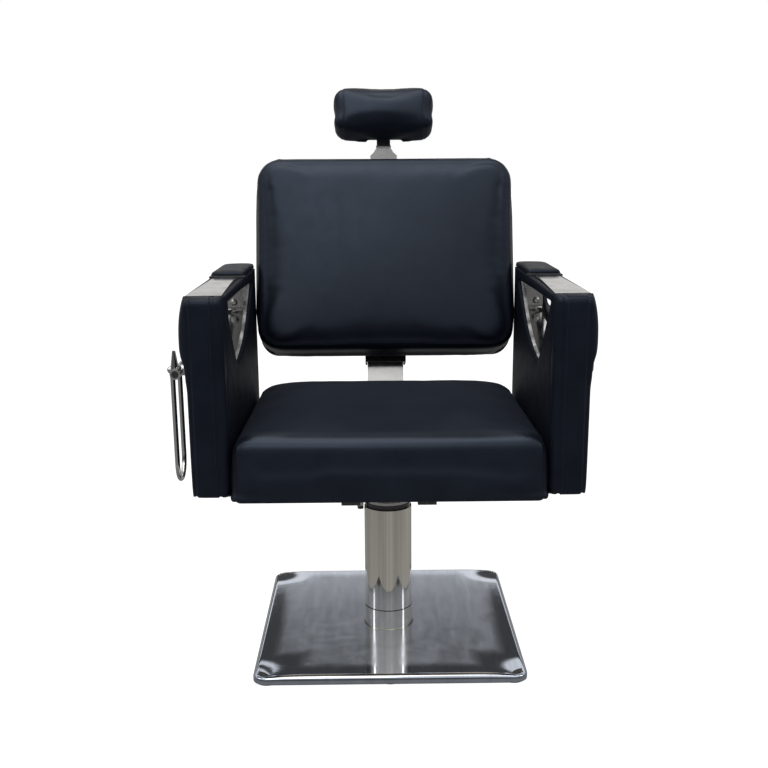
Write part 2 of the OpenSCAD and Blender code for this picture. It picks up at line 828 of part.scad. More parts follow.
// Whole arm seen from above, with its rear corners rounded
module arm_plan(height_from, height) {
    translate([0, 0, height_from]) linear_extrude(height) {
        translate([arm_x, -arm_front + arm_front_r]) square([arm_w, arm_len - arm_front_r - arm_rear_r]);
        translate([arm_x + arm_front_r, -arm_front]) square([arm_w - 2 * arm_front_r, arm_len - arm_rear_r]);
        for (x = [arm_x + arm_front_r, arm_out - arm_front_r])
            translate([x, -arm_front + arm_front_r]) circle(arm_front_r);
        translate([arm_out - arm_rear_r, arm_rear - arm_rear_r]) circle(arm_rear_r);
        translate([arm_x + arm_inner_r, arm_rear - arm_inner_r]) circle(arm_inner_r);
        translate([arm_x + arm_inner_r, arm_rear - arm_rear_r]) square([arm_w - arm_inner_r - arm_rear_r, arm_rear_r]);
        translate([arm_x, arm_rear - arm_rear_r]) square([arm_inner_r, arm_rear_r - arm_inner_r]);
    }
}

// Slot in a bottom rail for the release rod, wide enough for the rod's slope and swing
module rod_slot() {
    slope = rod_run[0] / rod_run[1];
    at_bottom = rod_pin[0] + (arm_z - rod_pin[1]) * slope;
    at_top = rod_pin[0] + (arm_z + bottom_rail_t - rod_pin[1]) * slope;
    translate([crank_x - 2 * rod_t, at_top - 2 * rod_w, arm_z - overrun])
        cube([3 * rod_t, at_bottom - at_top + 4 * rod_w, bottom_rail_t + 2 * overrun]);
}

module arm_frame(slotted) {
    color("burlywood") difference() {
        intersection() {
            along_x(frame_x, frame_w) translate([frame_y0, arm_z]) square([frame_y1 - frame_y0, frame_top - arm_z]);
            arm_plan(arm_z, arm_h);
        }
        along_x(frame_x - overrun, frame_w + 2 * overrun)
            translate([frame_y0 + front_post_t, arm_z + bottom_rail_t])
            square([frame_y1 - frame_y0 - front_post_t - rear_post_t, frame_top - arm_z - bottom_rail_t - top_rail_t]);
        if (slotted) rod_slot();
        at_mount_bolts() translate([0, 0, arm_z - overrun]) cylinder(d = seat_bolt_d, h = overrun + bottom_rail_t / 2);
        rod_y(frame_y1 - rear_post_t, rear_post_t / 2, arm_bolt_d, arm_bolt_x, arm_bolt_z);
    }
}

module arm_inner() {
    color("#2b3038") along_x(arm_x, panel_t) difference() {
        translate([frame_y0, arm_z]) square([frame_y1 - frame_y0, frame_top - arm_z]);
        polygon(leaf_outline(leaf_shares, leaf_cut_shares));
    }
}

// The outer panel swells out above the lever's height
module arm_outer(bored) {
    swell_z = arm_z + swell_low_share * arm_h;
    half = (frame_top - swell_z) / 2;
    swell_r = (half ^ 2 + arm_swell ^ 2) / (2 * arm_swell);
    color("#2b3038") difference() {
        union() {
            intersection() {
                along_x(arm_out - panel_t, panel_t)
                    translate([frame_y0, arm_z]) square([frame_y1 - frame_y0, frame_top - arm_z]);
                arm_plan(arm_z, arm_h);
            }
            intersection() {
                rod_y(frame_y0, frame_y1 - frame_y0 - arm_rear_r, 2 * swell_r, arm_out + arm_swell - swell_r,
                    swell_z + half);
                translate([arm_out - panel_t / 2, frame_y0, swell_z])
                    cube([arm_w, frame_y1 - frame_y0, 2 * half]);
            }
        }
        along_x(arm_out - panel_t - overrun, panel_t + arm_swell + 2 * overrun)
            polygon(leaf_outline(outer_leaf_shares, outer_leaf_cut_shares));
        if (bored) rod_x(arm_out - panel_t - overrun, panel_t + 2 * overrun, bush_d, lever_y, lever_z);
    }
}

// Front pad, rounded in the side view too
module arm_front_pad() {
    color("#2b3038") intersection() {
        arm_plan(arm_z, arm_h);
        along_x(arm_x, arm_w) {
            translate([-arm_front, arm_z + arm_front_r]) square([front_pad_t, arm_h - 2 * arm_front_r]);
            translate([-arm_front + arm_front_r, arm_z]) square([front_pad_t - arm_front_r, arm_h]);
            for (z = [arm_z + arm_front_r, arm_top - arm_front_r])
                translate([-arm_front + arm_front_r, z]) circle(arm_front_r);
        }
    }
}

module arm_rear_panels() {
    color("#2b3038") for (side = [-1, 1]) on_side(side) intersection() {
        arm_plan(arm_z, frame_top - arm_z);
        translate([arm_x, frame_y1, arm_z]) cube([arm_w, panel_t, frame_top - arm_z]);
    }
}

// Padded rear part of an arm's top, rounded along its upper edges
module arm_rear_pads() {
    length = arm_rear - rear_pad_y;
    color("#2b3038") for (side = [-1, 1]) on_side(side) intersection() {
        arm_plan(frame_top, rear_pad_t);
        along_x(arm_x, arm_w) edge_rounded(rear_pad_y, length, frame_top);
        translate([0, arm_rear, 0]) rotate([90, 0, 0]) linear_extrude(length) edge_rounded(arm_x, arm_w, frame_top);
    }
}

// Outline of a pad with its two upper corners rounded
module edge_rounded(start, length, z) {
    translate([start, z]) square([length, rear_pad_t - rear_pad_edge_r]);
    translate([start + rear_pad_edge_r, z]) square([length - 2 * rear_pad_edge_r, rear_pad_t]);
    for (x = [start + rear_pad_edge_r, start + length - rear_pad_edge_r])
        translate([x, z + rear_pad_t - rear_pad_edge_r]) circle(rear_pad_edge_r);
}

// Polished plate on the arm's top, narrower towards the rear
module arm_top_plates() {
    y0 = -arm_front + plate_front_share * arm_len;
    y1 = -arm_front + plate_rear_share * arm_len;
    color("silver") for (side = [-1, 1]) on_side(side) translate([0, 0, frame_top]) linear_extrude(sheet_t)
        difference() {
            polygon([
                [arm_x + plate_inset, max(y0, frame_y0)],
                [arm_out - plate_inset, max(y0, frame_y0)],
                [arm_out - plate_inset - plate_taper / 2, y1],
                [arm_x + plate_inset + plate_taper, y1]]);
        }
}

// Line of the polished sheet inside an arm: down the rear post, then forward along the window's floor
function sheet_line() =
    let (
        y = frame_y1 - rear_post_t - sheet_t / 2,
        floor_line = [for (s = sheet_floor_shares) [s[0] * arm_len - arm_front, s[1] * arm_h + arm_z]],
        bends = sheet_bend_shares * arm_h,
        foot = [y, floor_line[0][1]])
    concat([[y, arm_z + rear_plate_high_share * arm_h]],
        soft_corner([y, arm_top], foot, floor_line[1], bends[0]),
        soft_corner(foot, floor_line[1], floor_line[2], bends[1]),
        [floor_line[2]]);

// Outline of a sheet of even thickness about a line
function thick_line(line, t) =
    let (
        n = len(line),
        along = [for (i = [0:n - 1]) unit(line[min(i + 1, n - 1)] - line[max(i - 1, 0)])])
    concat(
        [for (i = [0:n - 1]) line[i] + t / 2 * [along[i][1], -along[i][0]]],
        [for (i = [n - 1:-1:0]) line[i] - t / 2 * [along[i][1], -along[i][0]]]);

// Polished sheet behind and below the arm's opening, with its bolt
module arm_rear_plates() {
    y = frame_y1 - rear_post_t;
    color("silver") for (side = [-1, 1]) on_side(side) difference() {
        along_x(frame_x, frame_w) polygon(thick_line(sheet_line(), sheet_t));
        rod_y(y - sheet_t - overrun, sheet_t + 2 * overrun, arm_bolt_d, arm_bolt_x, arm_bolt_z);
    }
}

// Thin steel edging round the inner opening, behind its padded edge
module arm_edgings() {
    edging_w = panel_t / 2;
    color("silver") for (side = [-1, 1]) on_side(side) along_x(arm_x + panel_t - edging_w, edging_w) difference() {
        polygon(leaf_outline(leaf_shares, leaf_cut_shares));
        offset(delta = -leaf_lip) polygon(leaf_outline(leaf_shares, leaf_cut_shares));
    }
}

module arm_stripes() {
    y0 = -arm_front + plate_rear_share * arm_len;
    color("black") for (side = [-1, 1]) on_side(side) for (i = [0:1])
        translate([arm_x, y0 + i * (stripe_w + stripe_space), frame_top]) cube([arm_w, stripe_w, stripe_t]);
}

module arm_bolts() {
    y = frame_y1 - rear_post_t - sheet_t;
    color("gainsboro") for (side = [-1, 1]) on_side(side) {
        rod_y(y, sheet_t + rear_post_t / 2, arm_bolt_d, arm_bolt_x, arm_bolt_z);
        rod_y(y - washer_t, washer_t, washer_d, arm_bolt_x, arm_bolt_z);
        translate([arm_bolt_x, y - washer_t, arm_bolt_z]) rotate([90, 0, 0])
            cylinder(d1 = bolt_head_share * arm_bolt_d, d2 = arm_bolt_d, h = arm_bolt_d / 2);
        rod_x(arm_out, cap_t, cap_d, cap_y + front_pad_t / 2, cap_z);
    }
}

// Recline lever on the left arm

module lever_bush() {
    color("gainsboro") difference() {
        union() {
            rod_x(-arm_out - bush_flange_t, bush_flange_t, bush_flange_d, lever_y, lever_z);
            rod_x(-arm_out, bush_len, bush_d, lever_y, lever_z);
        }
        rod_x(-arm_out - bush_flange_t - overrun, bush_len + bush_flange_t + 2 * overrun, shaft_d + 2 * run_gap,
            lever_y, lever_z);
    }
}

module shaft_hanger() {
    color("dimgray") difference() {
        union() {
            along_x(-hanger_x - hanger_t, hanger_t) {
                translate([cross_y, cross_z]) circle(ear_r);
                translate([cross_y - ear_r, cross_z]) square([2 * ear_r, arm_z - cross_z]);
            }
            translate([-frame_x - frame_w, cross_y - ear_r, arm_z - hanger_t]) cube([frame_w, 2 * ear_r, hanger_t]);
        }
        rod_x(-hanger_x - hanger_t - overrun, hanger_t + 2 * overrun, shaft_d + 2 * run_gap, cross_y, cross_z);
    }
}

// Hairpin of round bar below a plugged tube, with a boss on the shaft and a tapered stud above
module recline_lever() {
    bend = lever_gap / 2;
    foot = lever_z - lever_len + lever_bar_d / 2 + bend;
    color("gainsboro") difference() {
        union() {
            rod_y(lever_y - hub_len / 2, hub_len, hub_tube_d, -lever_x, lever_z);
            rod_x(-lever_x, lever_x - arm_out - bush_flange_t - side_gap, bush_d, lever_y, lever_z);
            for (side = [-1, 1]) translate([-leg_x, lever_y + side * bend, foot])
                cylinder(d = lever_bar_d, h = lever_z - foot);
            translate([-leg_x, lever_y, foot]) rotate([90, 0, 90]) rotate([0, 0, 180])
                rotate_extrude(angle = 180) translate([bend, 0]) circle(d = lever_bar_d);
            translate([-stud_x, stud_y, lever_z]) cylinder(d1 = stud_d, d2 = stud_tip_d, h = stud_h);
        }
        rod_x(-lever_x - hub_tube_d, 2 * hub_tube_d + lever_x, shaft_d, lever_y, lever_z);
        for (y = [lever_y - hub_len / 2 - overrun, lever_y + hub_len / 2 - plug_len])
            rod_y(y, plug_len + overrun, plug_d, -lever_x, lever_z);
    }
}

module lever_plugs() {
    color("black") for (y = [lever_y - hub_len / 2, lever_y + hub_len / 2 - plug_len])
        rod_y(y, plug_len, plug_d, -lever_x, lever_z);
}

// Crank plate with its pin, between a shaft and the rod
module crank(y, z) {
    pin_y = y + crank_arm[0];
    pin_z = z + crank_arm[1];
    along_x(-crank_x - crank_t, crank_t) {
        translate([y, z]) circle(crank_end_r);
        translate([pin_y, pin_z]) circle(crank_end_r);
        bar_outline([y, z], [pin_y, pin_z], 2 * crank_end_r);
    }
    rod_x(-crank_x - crank_t, crank_t + rod_t + 2 * side_gap + pin_head_t, pin_d, pin_y, pin_z);
    rod_x(-crank_x + rod_t + 2 * side_gap, pin_head_t, 3 * pin_d / 2, pin_y, pin_z);
}

module lever_shaft() {
    tip = nut_washer_t + nut_d / 3;
    color("silver") {
        rod_x(-lever_x - hub_tube_d / 2, lever_x + hub_tube_d / 2 - crank_x, shaft_d, lever_y, lever_z);
        rod_x(-lever_x - hub_tube_d / 2 - tip, tip, shaft_r, lever_y, lever_z);
        crank(lever_y, lever_z);
    }
}

module lever_nut() {
    color("gainsboro") translate([-lever_x - hub_tube_d / 2, lever_y, lever_z]) rotate([0, -90, 0])
        rotate_extrude() difference() {
            union() {
                square([nut_washer_d / 2, nut_washer_t]);
                square([nut_d / 2, nut_washer_t + nut_d / 4]);
                translate([0, nut_washer_t + nut_d / 4]) intersection() {
                    circle(nut_d / 2);
                    square(nut_d / 2);
                }
            }
            square([shaft_r / 2, nut_washer_t + nut_d / 3]);
        }
}

module release_rod() {
    far = rod_pin + rod_run;
    color("silver") difference() {
        along_x(-crank_x + side_gap, rod_t) {
            translate(rod_pin) circle(3 * rod_w / 4);
            translate(far) circle(3 * rod_w / 4);
            bar_outline(rod_pin, far, rod_w);
        }
        for (p = [rod_pin, far]) rod_x(-crank_x, 2 * rod_t, pin_d + 2 * run_gap, p[0], p[1]);
    }
}

module cross_shaft() {
    nut_x = -rail_x + side_gap + quadrant_t + side_gap;
    far = rail_x + rail_t + pin_head_t;
    color("silver") {
        rod_x(-crank_x - crank_t, crank_x + crank_t + far + pin_head_t, shaft_d, cross_y, cross_z);
        rod_x(far, pin_head_t, 3 * shaft_d / 2, cross_y, cross_z);
        translate([nut_x, cross_y, cross_z]) rotate([0, 90, 0]) cylinder(d = clamp_nut_d, h = clamp_nut_t, $fn = 6);
        crank(cross_y, cross_z);
    }
}

// Back

module in_back() {
    translate([0, hinge_y, hinge_z]) rotate([-back_tilt, 0, 0]) children();
}

// Flat bar on a knuckle that turns on the hinge pin
module back_spine() {
    reach = rail_x - side_gap;
    color("gainsboro") in_back() difference() {
        union() {
            translate([-spine_w / 2, -spine_t / 2, 0]) cube([spine_w, spine_t, spine_len]);
            rod_x(-reach + quadrant_t, 2 * reach - quadrant_t, knuckle_d, 0, 0);
        }
        rod_x(-reach - overrun, 2 * (reach + overrun), hinge_pin_d + 2 * run_gap, 0, 0);
        at_spine_bolts() rod_y(-spine_t, 2 * spine_t, spine_bolt_d, 0, 0);
    }
}

module at_spine_bolts() {
    for (s = spine_bolt_shares) translate([0, 0, bracket_z + s * bracket_len]) children();
}

// Slotted plate that the cross shaft passes through
module lock_quadrant() {
    rim = quadrant_r + quadrant_rim;
    spread = asin(quadrant_rim / quadrant_r) + recline_range / 2;
    middle = quadrant_start + recline_range / 2;
    slot_w = shaft_d + 2 * face_gap;
    color("silver") translate([0, hinge_y, hinge_z]) difference() {
        along_x(-rail_x + side_gap, quadrant_t) difference() {
            union() {
                circle(d = knuckle_d);
                intersection() {
                    circle(rim);
                    rotate(middle) polygon([
                        [0, 0],
                        2 * rim * [cos(-spread), sin(-spread)],
                        [2 * rim, 0],
                        2 * rim * [cos(spread), sin(spread)]]);
                }
            }
            circle(d = hinge_pin_d + 2 * run_gap);
            difference() {
                circle(quadrant_r + slot_w / 2);
                circle(quadrant_r - slot_w / 2);
                rotate(middle + 180) polygon([
                    [0, 0],
                    2 * rim * [cos(recline_range / 2 - 180), sin(recline_range / 2 - 180)],
                    2 * rim * [cos(-90), sin(-90)],
                    [2 * rim, -2 * rim],
                    [2 * rim, 2 * rim],
                    2 * rim * [cos(90), sin(90)],
                    2 * rim * [cos(180 - recline_range / 2), sin(180 - recline_range / 2)]]);
            }
            for (a = [quadrant_start, quadrant_start + recline_range])
                translate(quadrant_r * [cos(a), sin(a)]) circle(d = slot_w);
        }
    }
}

// Black channel between the spine and the back's shell
module back_bracket() {
    color("#1c1c1e") in_back() difference() {
        union() {
            translate([-bracket_w / 2, shell_y, bracket_z]) cube([bracket_w, bracket_t, bracket_len]);
            for (side = [-1, 1]) on_side(side) translate([bracket_w / 2 - bracket_t, shell_y, bracket_z])
                cube([bracket_t, bracket_depth + spine_t, bracket_len]);
            at_spine_bolts() rod_y(shell_y, bracket_depth, 2 * spine_bolt_d, 0, 0);
            for (side = [-1, 1]) on_side(side)
                rod_y(shell_y - bracket_t / 2, bracket_t, bracket_screw_d, bracket_screw_x, bracket_z + bracket_drop / 2);
        }
        at_spine_bolts() rod_y(shell_y - overrun, bracket_depth + 2 * overrun, spine_bolt_d, 0, 0);
    }
}

module spine_bolts() {
    grip = bracket_depth + shell_t + back_board_t / 2;
    color("gainsboro") in_back() at_spine_bolts() {
        rod_y(-spine_t / 2 - grip, grip + spine_t, spine_bolt_d, 0, 0);
        translate([0, spine_t / 2, 0]) rotate([-90, 0, 0])
            cylinder(d1 = bolt_head_share * spine_bolt_d, d2 = spine_bolt_d, h = spine_bolt_d / 2);
    }
}

// Slab in the back's frame, seen as a rounded rectangle from the front
module back_slab(y, t, margin, r) {
    translate([0, y + t, spine_rise + back_h / 2]) rotate([90, 0, 0]) linear_extrude(t)
        rounded_rect(back_w - 2 * margin, back_h - 2 * margin, r);
}

module back_board() {
    margin = shell_margin + shell_wall;
    color("burlywood") in_back() difference() {
        back_slab(pad_y, back_board_t, margin, back_corner_r - margin);
        at_spine_bolts() rod_y(board_y - back_board_t / 2, back_board_t, spine_bolt_d, 0, 0);
    }
}

module back_shell() {
    margin = shell_margin + shell_wall;
    color("#1c1c1e") in_back() difference() {
        union() {
            back_slab(pad_y, back_board_t + shell_t - shell_edge_r / 2, shell_margin, back_corner_r - shell_margin);
            back_slab(pad_y, back_board_t + shell_t, shell_margin + shell_edge_r, back_corner_r - margin);
        }
        back_slab(pad_y - overrun, back_board_t + overrun, margin, back_corner_r - margin);
        at_spine_bolts() rod_y(board_y - overrun, shell_t + 2 * overrun, spine_bolt_d, 0, 0);
    }
}

module back_cushion() {
    color("#2b3038") in_back() translate([0, pad_y, spine_rise + back_h / 2]) rotate([90, 0, 0])
        cushion(back_w, back_h, back_pad_t, back_corner_r, back_lower_r, back_edge_r, back_crown, back_draw);
}

// Guide for the headrest's post, with a flared black mouth above the back
module headrest_guide() {
    slot_w = post_w + 2 * post_gap;
    slot_t = post_t + 2 * post_gap;
    top = guide_z + guide_len;
    neck = post_w / 2 + post_gap + guide_lip;
    color("#1c1c1e") in_back() difference() {
        translate([0, guide_y + guide_depth, 0]) rotate([90, 0, 0]) linear_extrude(guide_depth) polygon([
            [-guide_w / 2, guide_z],
            [guide_w / 2, guide_z],
            [guide_w / 2, top - guide_taper],
            [(guide_w / 2 + 2 * neck) / 3, top - guide_taper / 2],
            [neck, top],
            [-neck, top],
            [-(guide_w / 2 + 2 * neck) / 3, top - guide_taper / 2],
            [-guide_w / 2, top - guide_taper]]);
        translate([-slot_w / 2, post_y - post_gap, guide_z - overrun]) cube([slot_w, slot_t, guide_len + 2 * overrun]);
        rod_y(post_y + post_t / 2, guide_depth, knob_screw_d + 2 * run_gap, 0, knob_z);
    }
}

module headrest_post() {
    color("silver") in_back() difference() {
        union() {
            translate([-post_w / 2, post_y, post_z]) cube([post_w, post_t, collar_z - post_z]);
            translate([-tilt_knuckle_w / 2, post_y, post_z]) cube([tilt_knuckle_w, post_t, tilt_z - post_z]);
            rod_x(-tilt_knuckle_w / 2, tilt_knuckle_w, tilt_knuckle_d, tilt_y, tilt_z);
        }
        rod_x(-tilt_knuckle_w, 2 * tilt_knuckle_w, tilt_pin_d + 2 * run_gap, tilt_y, tilt_z);
    }
}

module post_collar() {
    color("#1c1c1e") in_back() difference() {
        translate([0, post_y + post_t / 2, collar_z]) linear_extrude(post_collar_h)
            rounded_rect(collar_w, post_collar_depth, post_collar_depth / 4);
        translate([-tilt_knuckle_w / 2, post_y, collar_z - overrun])
            cube([tilt_knuckle_w, post_t, post_collar_h + 2 * overrun]);
    }
}

// Plate with two ears and the pin that carries the headrest
module tilt_bracket() {
    inner = tilt_knuckle_w / 2 + side_gap;
    color("dimgray") in_back() {
        translate([-inner - ear_t, rest_y, tilt_z]) cube([2 * (inner + ear_t), rest_plate_t, rest_h / 2]);
        for (side = [-1, 1]) on_side(side) along_x(inner, ear_t) {
            translate([tilt_y, tilt_z]) circle(d = tilt_knuckle_d);
            translate([rest_y, tilt_z]) square([tilt_y - rest_y, tilt_knuckle_d / 2]);
        }
        rod_x(-inner, 2 * inner, tilt_pin_d, tilt_y, tilt_z);
    }
}

module headrest_board() {
    color("burlywood") in_back() translate([0, rest_y, rest_z + rest_h / 2]) rotate([90, 0, 0])
        linear_extrude(rest_board_t)
        rounded_rect(rest_w - 2 * rest_corner_r, rest_h - 2 * rest_corner_r, rest_corner_r / 2);
}

module headrest_pad() {
    color("#2b3038") in_back() translate([0, rest_y - rest_board_t, rest_z + rest_h / 2]) rotate([90, 0, 0])
        cushion(rest_w, rest_h, rest_t, rest_corner_r, rest_edge_r / 2, rest_edge_r, rest_crown, rest_draw,
            under = rest_under);
}

// Lobed knob whose screw presses on the post
module clamp_knob() {
    face = guide_y + guide_depth;
    tip = post_y + post_t + post_gap;
    color("black") in_back() {
        rod_y(tip, face + knob_neck_t - tip, knob_screw_d, 0, knob_z);
        rod_y(face + side_gap, knob_neck_t, knob_neck_d, 0, knob_z);
        translate([0, face + side_gap + knob_neck_t, knob_z]) rotate([-90, 0, 0]) linear_extrude(knob_t) {
            circle(d = 3 * knob_d / 4);
            for (i = [0:knob_lobes - 1]) rotate(360 * i / knob_lobes) translate([3 * knob_d / 8, 0])
                circle(d = knob_d / 3);
        }
    }
}

base_plate();
base_cover();
base_feet();
foot_bolts();
pump_cylinder();
column_collar();
pedal_pin();
pump_pedal();
pedal_pad();
piston_rod();
column_sleeve();
guide_bush();
sleeve_ring();
swivel_head();
lug_bolt();
seat_rails();
arm_strap(strap_front_y);  // arm_strap_front
arm_strap(strap_rear_y);  // arm_strap_rear
seat_bolts();
seat_board();
seat_cushion();
hinge_pin();
on_side(-1) arm_frame(true);  // arm_frame_left
on_side(1) arm_frame(false);  // arm_frame_right
on_side(-1) arm_inner();  // arm_inner_left
on_side(1) arm_inner();  // arm_inner_right
on_side(-1) arm_outer(true);  // arm_outer_left
on_side(1) arm_outer(false);  // arm_outer_right
on_side(-1) arm_front_pad();  // arm_front_pad_left
on_side(1) arm_front_pad();  // arm_front_pad_right
arm_rear_panels();
arm_rear_pads();
arm_top_plates();
arm_rear_plates();
arm_edgings();
arm_stripes();
arm_bolts();
lever_bush();
shaft_hanger();
recline_lever();
lever_plugs();
lever_shaft();
lever_nut();
release_rod();
cross_shaft();
back_spine();
lock_quadrant();
back_bracket();
spine_bolts();
back_board();
back_cushion();
back_shell();
headrest_guide();
headrest_post();
post_collar();
tilt_bracket();
headrest_board();
headrest_pad();
clamp_knob();
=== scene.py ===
"""Salon chair for threading and beauty work: its upholstery, finishes, floor and light, around the
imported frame."""

import json
import math

import bmesh
import bpy
import numpy as np
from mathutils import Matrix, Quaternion, Vector

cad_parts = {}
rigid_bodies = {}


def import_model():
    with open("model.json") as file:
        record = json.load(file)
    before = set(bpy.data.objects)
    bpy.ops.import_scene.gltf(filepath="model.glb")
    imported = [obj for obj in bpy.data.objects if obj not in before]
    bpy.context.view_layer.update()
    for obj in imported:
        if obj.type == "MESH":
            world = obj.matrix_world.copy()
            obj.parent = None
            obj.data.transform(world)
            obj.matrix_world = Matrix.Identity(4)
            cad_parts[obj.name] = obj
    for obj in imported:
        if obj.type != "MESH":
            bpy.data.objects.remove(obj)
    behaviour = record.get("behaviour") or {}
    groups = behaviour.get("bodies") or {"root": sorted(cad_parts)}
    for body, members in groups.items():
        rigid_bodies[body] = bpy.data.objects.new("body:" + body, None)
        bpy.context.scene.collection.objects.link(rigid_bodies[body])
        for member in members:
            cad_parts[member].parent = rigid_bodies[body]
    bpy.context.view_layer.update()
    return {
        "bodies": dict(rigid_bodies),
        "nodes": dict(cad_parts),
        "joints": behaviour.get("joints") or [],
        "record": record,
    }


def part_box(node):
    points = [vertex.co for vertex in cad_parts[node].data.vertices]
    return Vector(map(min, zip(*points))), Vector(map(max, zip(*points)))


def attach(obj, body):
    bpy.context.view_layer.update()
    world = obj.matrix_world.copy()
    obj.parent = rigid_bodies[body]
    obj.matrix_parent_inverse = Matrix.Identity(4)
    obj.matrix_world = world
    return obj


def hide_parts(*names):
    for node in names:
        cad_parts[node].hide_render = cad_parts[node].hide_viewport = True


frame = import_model()
nodes = frame["nodes"]
scene = bpy.context.scene
scene.view_settings.view_transform = "Standard"

# Camera: where it stands in metres, how far it swings, looks down and leans in degrees, its focal
# length in pixels, and where its axis meets the picture
PICTURE = 768
FOCAL_PX = 1104
AXIS_PX = (387.6, 457.8)
CAMERA_PLACE = (0, -2.080, 0.918)
CAMERA_SWING = -0.7
CAMERA_DOWN = 15
CAMERA_ROLL = -0.35
SENSOR = 36

# The room that the chair reflects: brightness by the sine of the view's height, the walls' tint,
# and between which views to the rear the one wall turns into the other
WALL_BEHIND = [(-1, 0.2), (0, 0.3), (0.05, 0.35), (0.07, 0.7), (0.13, 0.7), (0.16, 0.10),
               (0.28, 0.10), (0.30, 1.2), (0.360, 1.2), (0.366, 0.08), (0.48, 0.08), (0.50, 1.1),
               (0.64, 1.1), (0.68, 0.15), (1, 0.6)]
WALL_BEFORE = [(-1, 0.14), (-0.4, 0.30), (-0.2, 0.20), (0, 0.10), (0.32, 0.10), (0.47, 0.9),
               (0.8, 1.2), (0.9, 1.8), (1, 2.0)]
WALL_TINT = (1, 0.985, 0.965)
WALLS_MEET = (-0.25, 0.35)
FLOOR_HALF = 40
FLOOR_GLOW = 0.97

# The back's own frame: its hinge and its lean
HINGE = np.array([0, 0.236, 0.34014])
BACK_TILT = math.radians(18)

SIDES = (("left", -1), ("right", 1))


# Nodes

MIX_SOCKETS = {"FLOAT": (2, 3, 0), "RGBA": (6, 7, 2)}


def mix(tree, kind, share, first, second):
    """Two numbers or two colours, blended by a share from 0 to 1. Each is a node's output or a
    plain value. MIX_SOCKETS says where a mix node of a kind takes both and gives its result."""
    node = tree.nodes.new("ShaderNodeMix")
    node.data_type = kind
    *ends, result = MIX_SOCKETS[kind]
    tree.links.new(share, node.inputs[0])
    for end, part in zip(ends, (first, second)):
        if isinstance(part, bpy.types.NodeSocket):
            tree.links.new(part, node.inputs[end])
        else:
            node.inputs[end].default_value = part
    return node.outputs[result]


def spread(tree, value, start, end, low=0, high=1):
    """The value's range from start to end, spread from low to high."""
    node = tree.nodes.new("ShaderNodeMapRange")
    limits = (("From Min", start), ("From Max", end), ("To Min", low), ("To Max", high))
    for name, number in limits:
        node.inputs[name].default_value = number
    tree.links.new(value, node.inputs["Value"])
    return node.outputs["Result"]


# Light, floor and camera

def place_camera():
    """The camera stands before the chair and looks down on it; the shift puts its axis where the
    picture has it."""
    data = bpy.data.cameras.new("camera")
    camera = bpy.data.objects.new("camera", data)
    scene.collection.objects.link(camera)
    data.sensor_width = SENSOR
    data.lens = SENSOR * FOCAL_PX / PICTURE
    data.shift_x = (PICTURE / 2 - AXIS_PX[0]) / PICTURE
    data.shift_y = (AXIS_PX[1] - PICTURE / 2) / PICTURE
    data.clip_end = 200
    swing = Quaternion((0, 0, 1), math.radians(CAMERA_SWING))
    level = Quaternion((1, 0, 0), math.radians(90 - CAMERA_DOWN))
    roll = Quaternion((0, 0, 1), math.radians(CAMERA_ROLL))
    camera.rotation_mode = "QUATERNION"
    camera.rotation_quaternion = swing @ level @ roll
    camera.location = swing @ Vector(CAMERA_PLACE)
    scene.camera = camera


def light_room():
    """A plain white backdrop for the camera. What the chair reflects is a room by height of view:
    behind the chair a low wall lit at 4 to 8 degrees, and lit strips at 17 to 21 and 30 to 40
    degrees; before it a wall that is dim up to 19 degrees, and a ceiling lit from 28 degrees up."""
    world = bpy.data.worlds.new("room")
    world.use_nodes = True
    tree = world.node_tree
    place = tree.nodes.new("ShaderNodeTexCoord")
    split = tree.nodes.new("ShaderNodeSeparateXYZ")
    tree.links.new(place.outputs["Generated"], split.inputs[0])

    def wall(steps):
        """A ramp of brightness over the whole height of view."""
        ramp = tree.nodes.new("ShaderNodeValToRGB")
        for i, (height, value) in enumerate(steps):
            stop = ramp.color_ramp.elements[i] if i < 2 else ramp.color_ramp.elements.new(1)
            stop.position = (height + 1) / 2
            stop.color = (*(value * tint for tint in WALL_TINT), 1)
        tree.links.new(spread(tree, split.outputs["Z"], -1, 1), ramp.inputs["Fac"])
        return ramp.outputs["Color"]

    to_rear = spread(tree, split.outputs["Y"], *WALLS_MEET)
    walls = mix(tree, "RGBA", to_rear, wall(WALL_BEFORE), wall(WALL_BEHIND))
    by_camera = tree.nodes.new("ShaderNodeLightPath").outputs["Is Camera Ray"]
    backdrop = mix(tree, "RGBA", by_camera, walls, (1, 1, 1, 1))
    tree.links.new(backdrop, tree.nodes["Background"].inputs["Color"])
    scene.world = world


def soft_box(name, place, aim, size, power):
    """A rectangular lamp at a place, turned towards a point."""
    data = bpy.data.lights.new(name, "AREA")
    data.shape = "RECTANGLE"
    data.size, data.size_y = size
    data.energy = power
    lamp = bpy.data.objects.new(name, data)
    lamp.location = place
    lamp.rotation_euler = (Vector(aim) - Vector(place)).to_track_quat("-Z", "Y").to_euler()
    scene.collection.objects.link(lamp)


def light_chair():
    """Large soft lamps overhead, in front and on both sides."""
    soft_box("lamp_top", (-0.3, -0.3, 2.9), (0, 0, 0.5), (2.2, 1.8), 30)
    soft_box("lamp_front", (-0.6, -2.4, 2.8), (0, 0, 0.6), (1.4, 0.7), 16)
    for label, side in SIDES:
        soft_box(f"lamp_{label}", (side * 2.4, -0.6, 1.7), (0, 0, 0.6), (0.4, 1.4), 6)


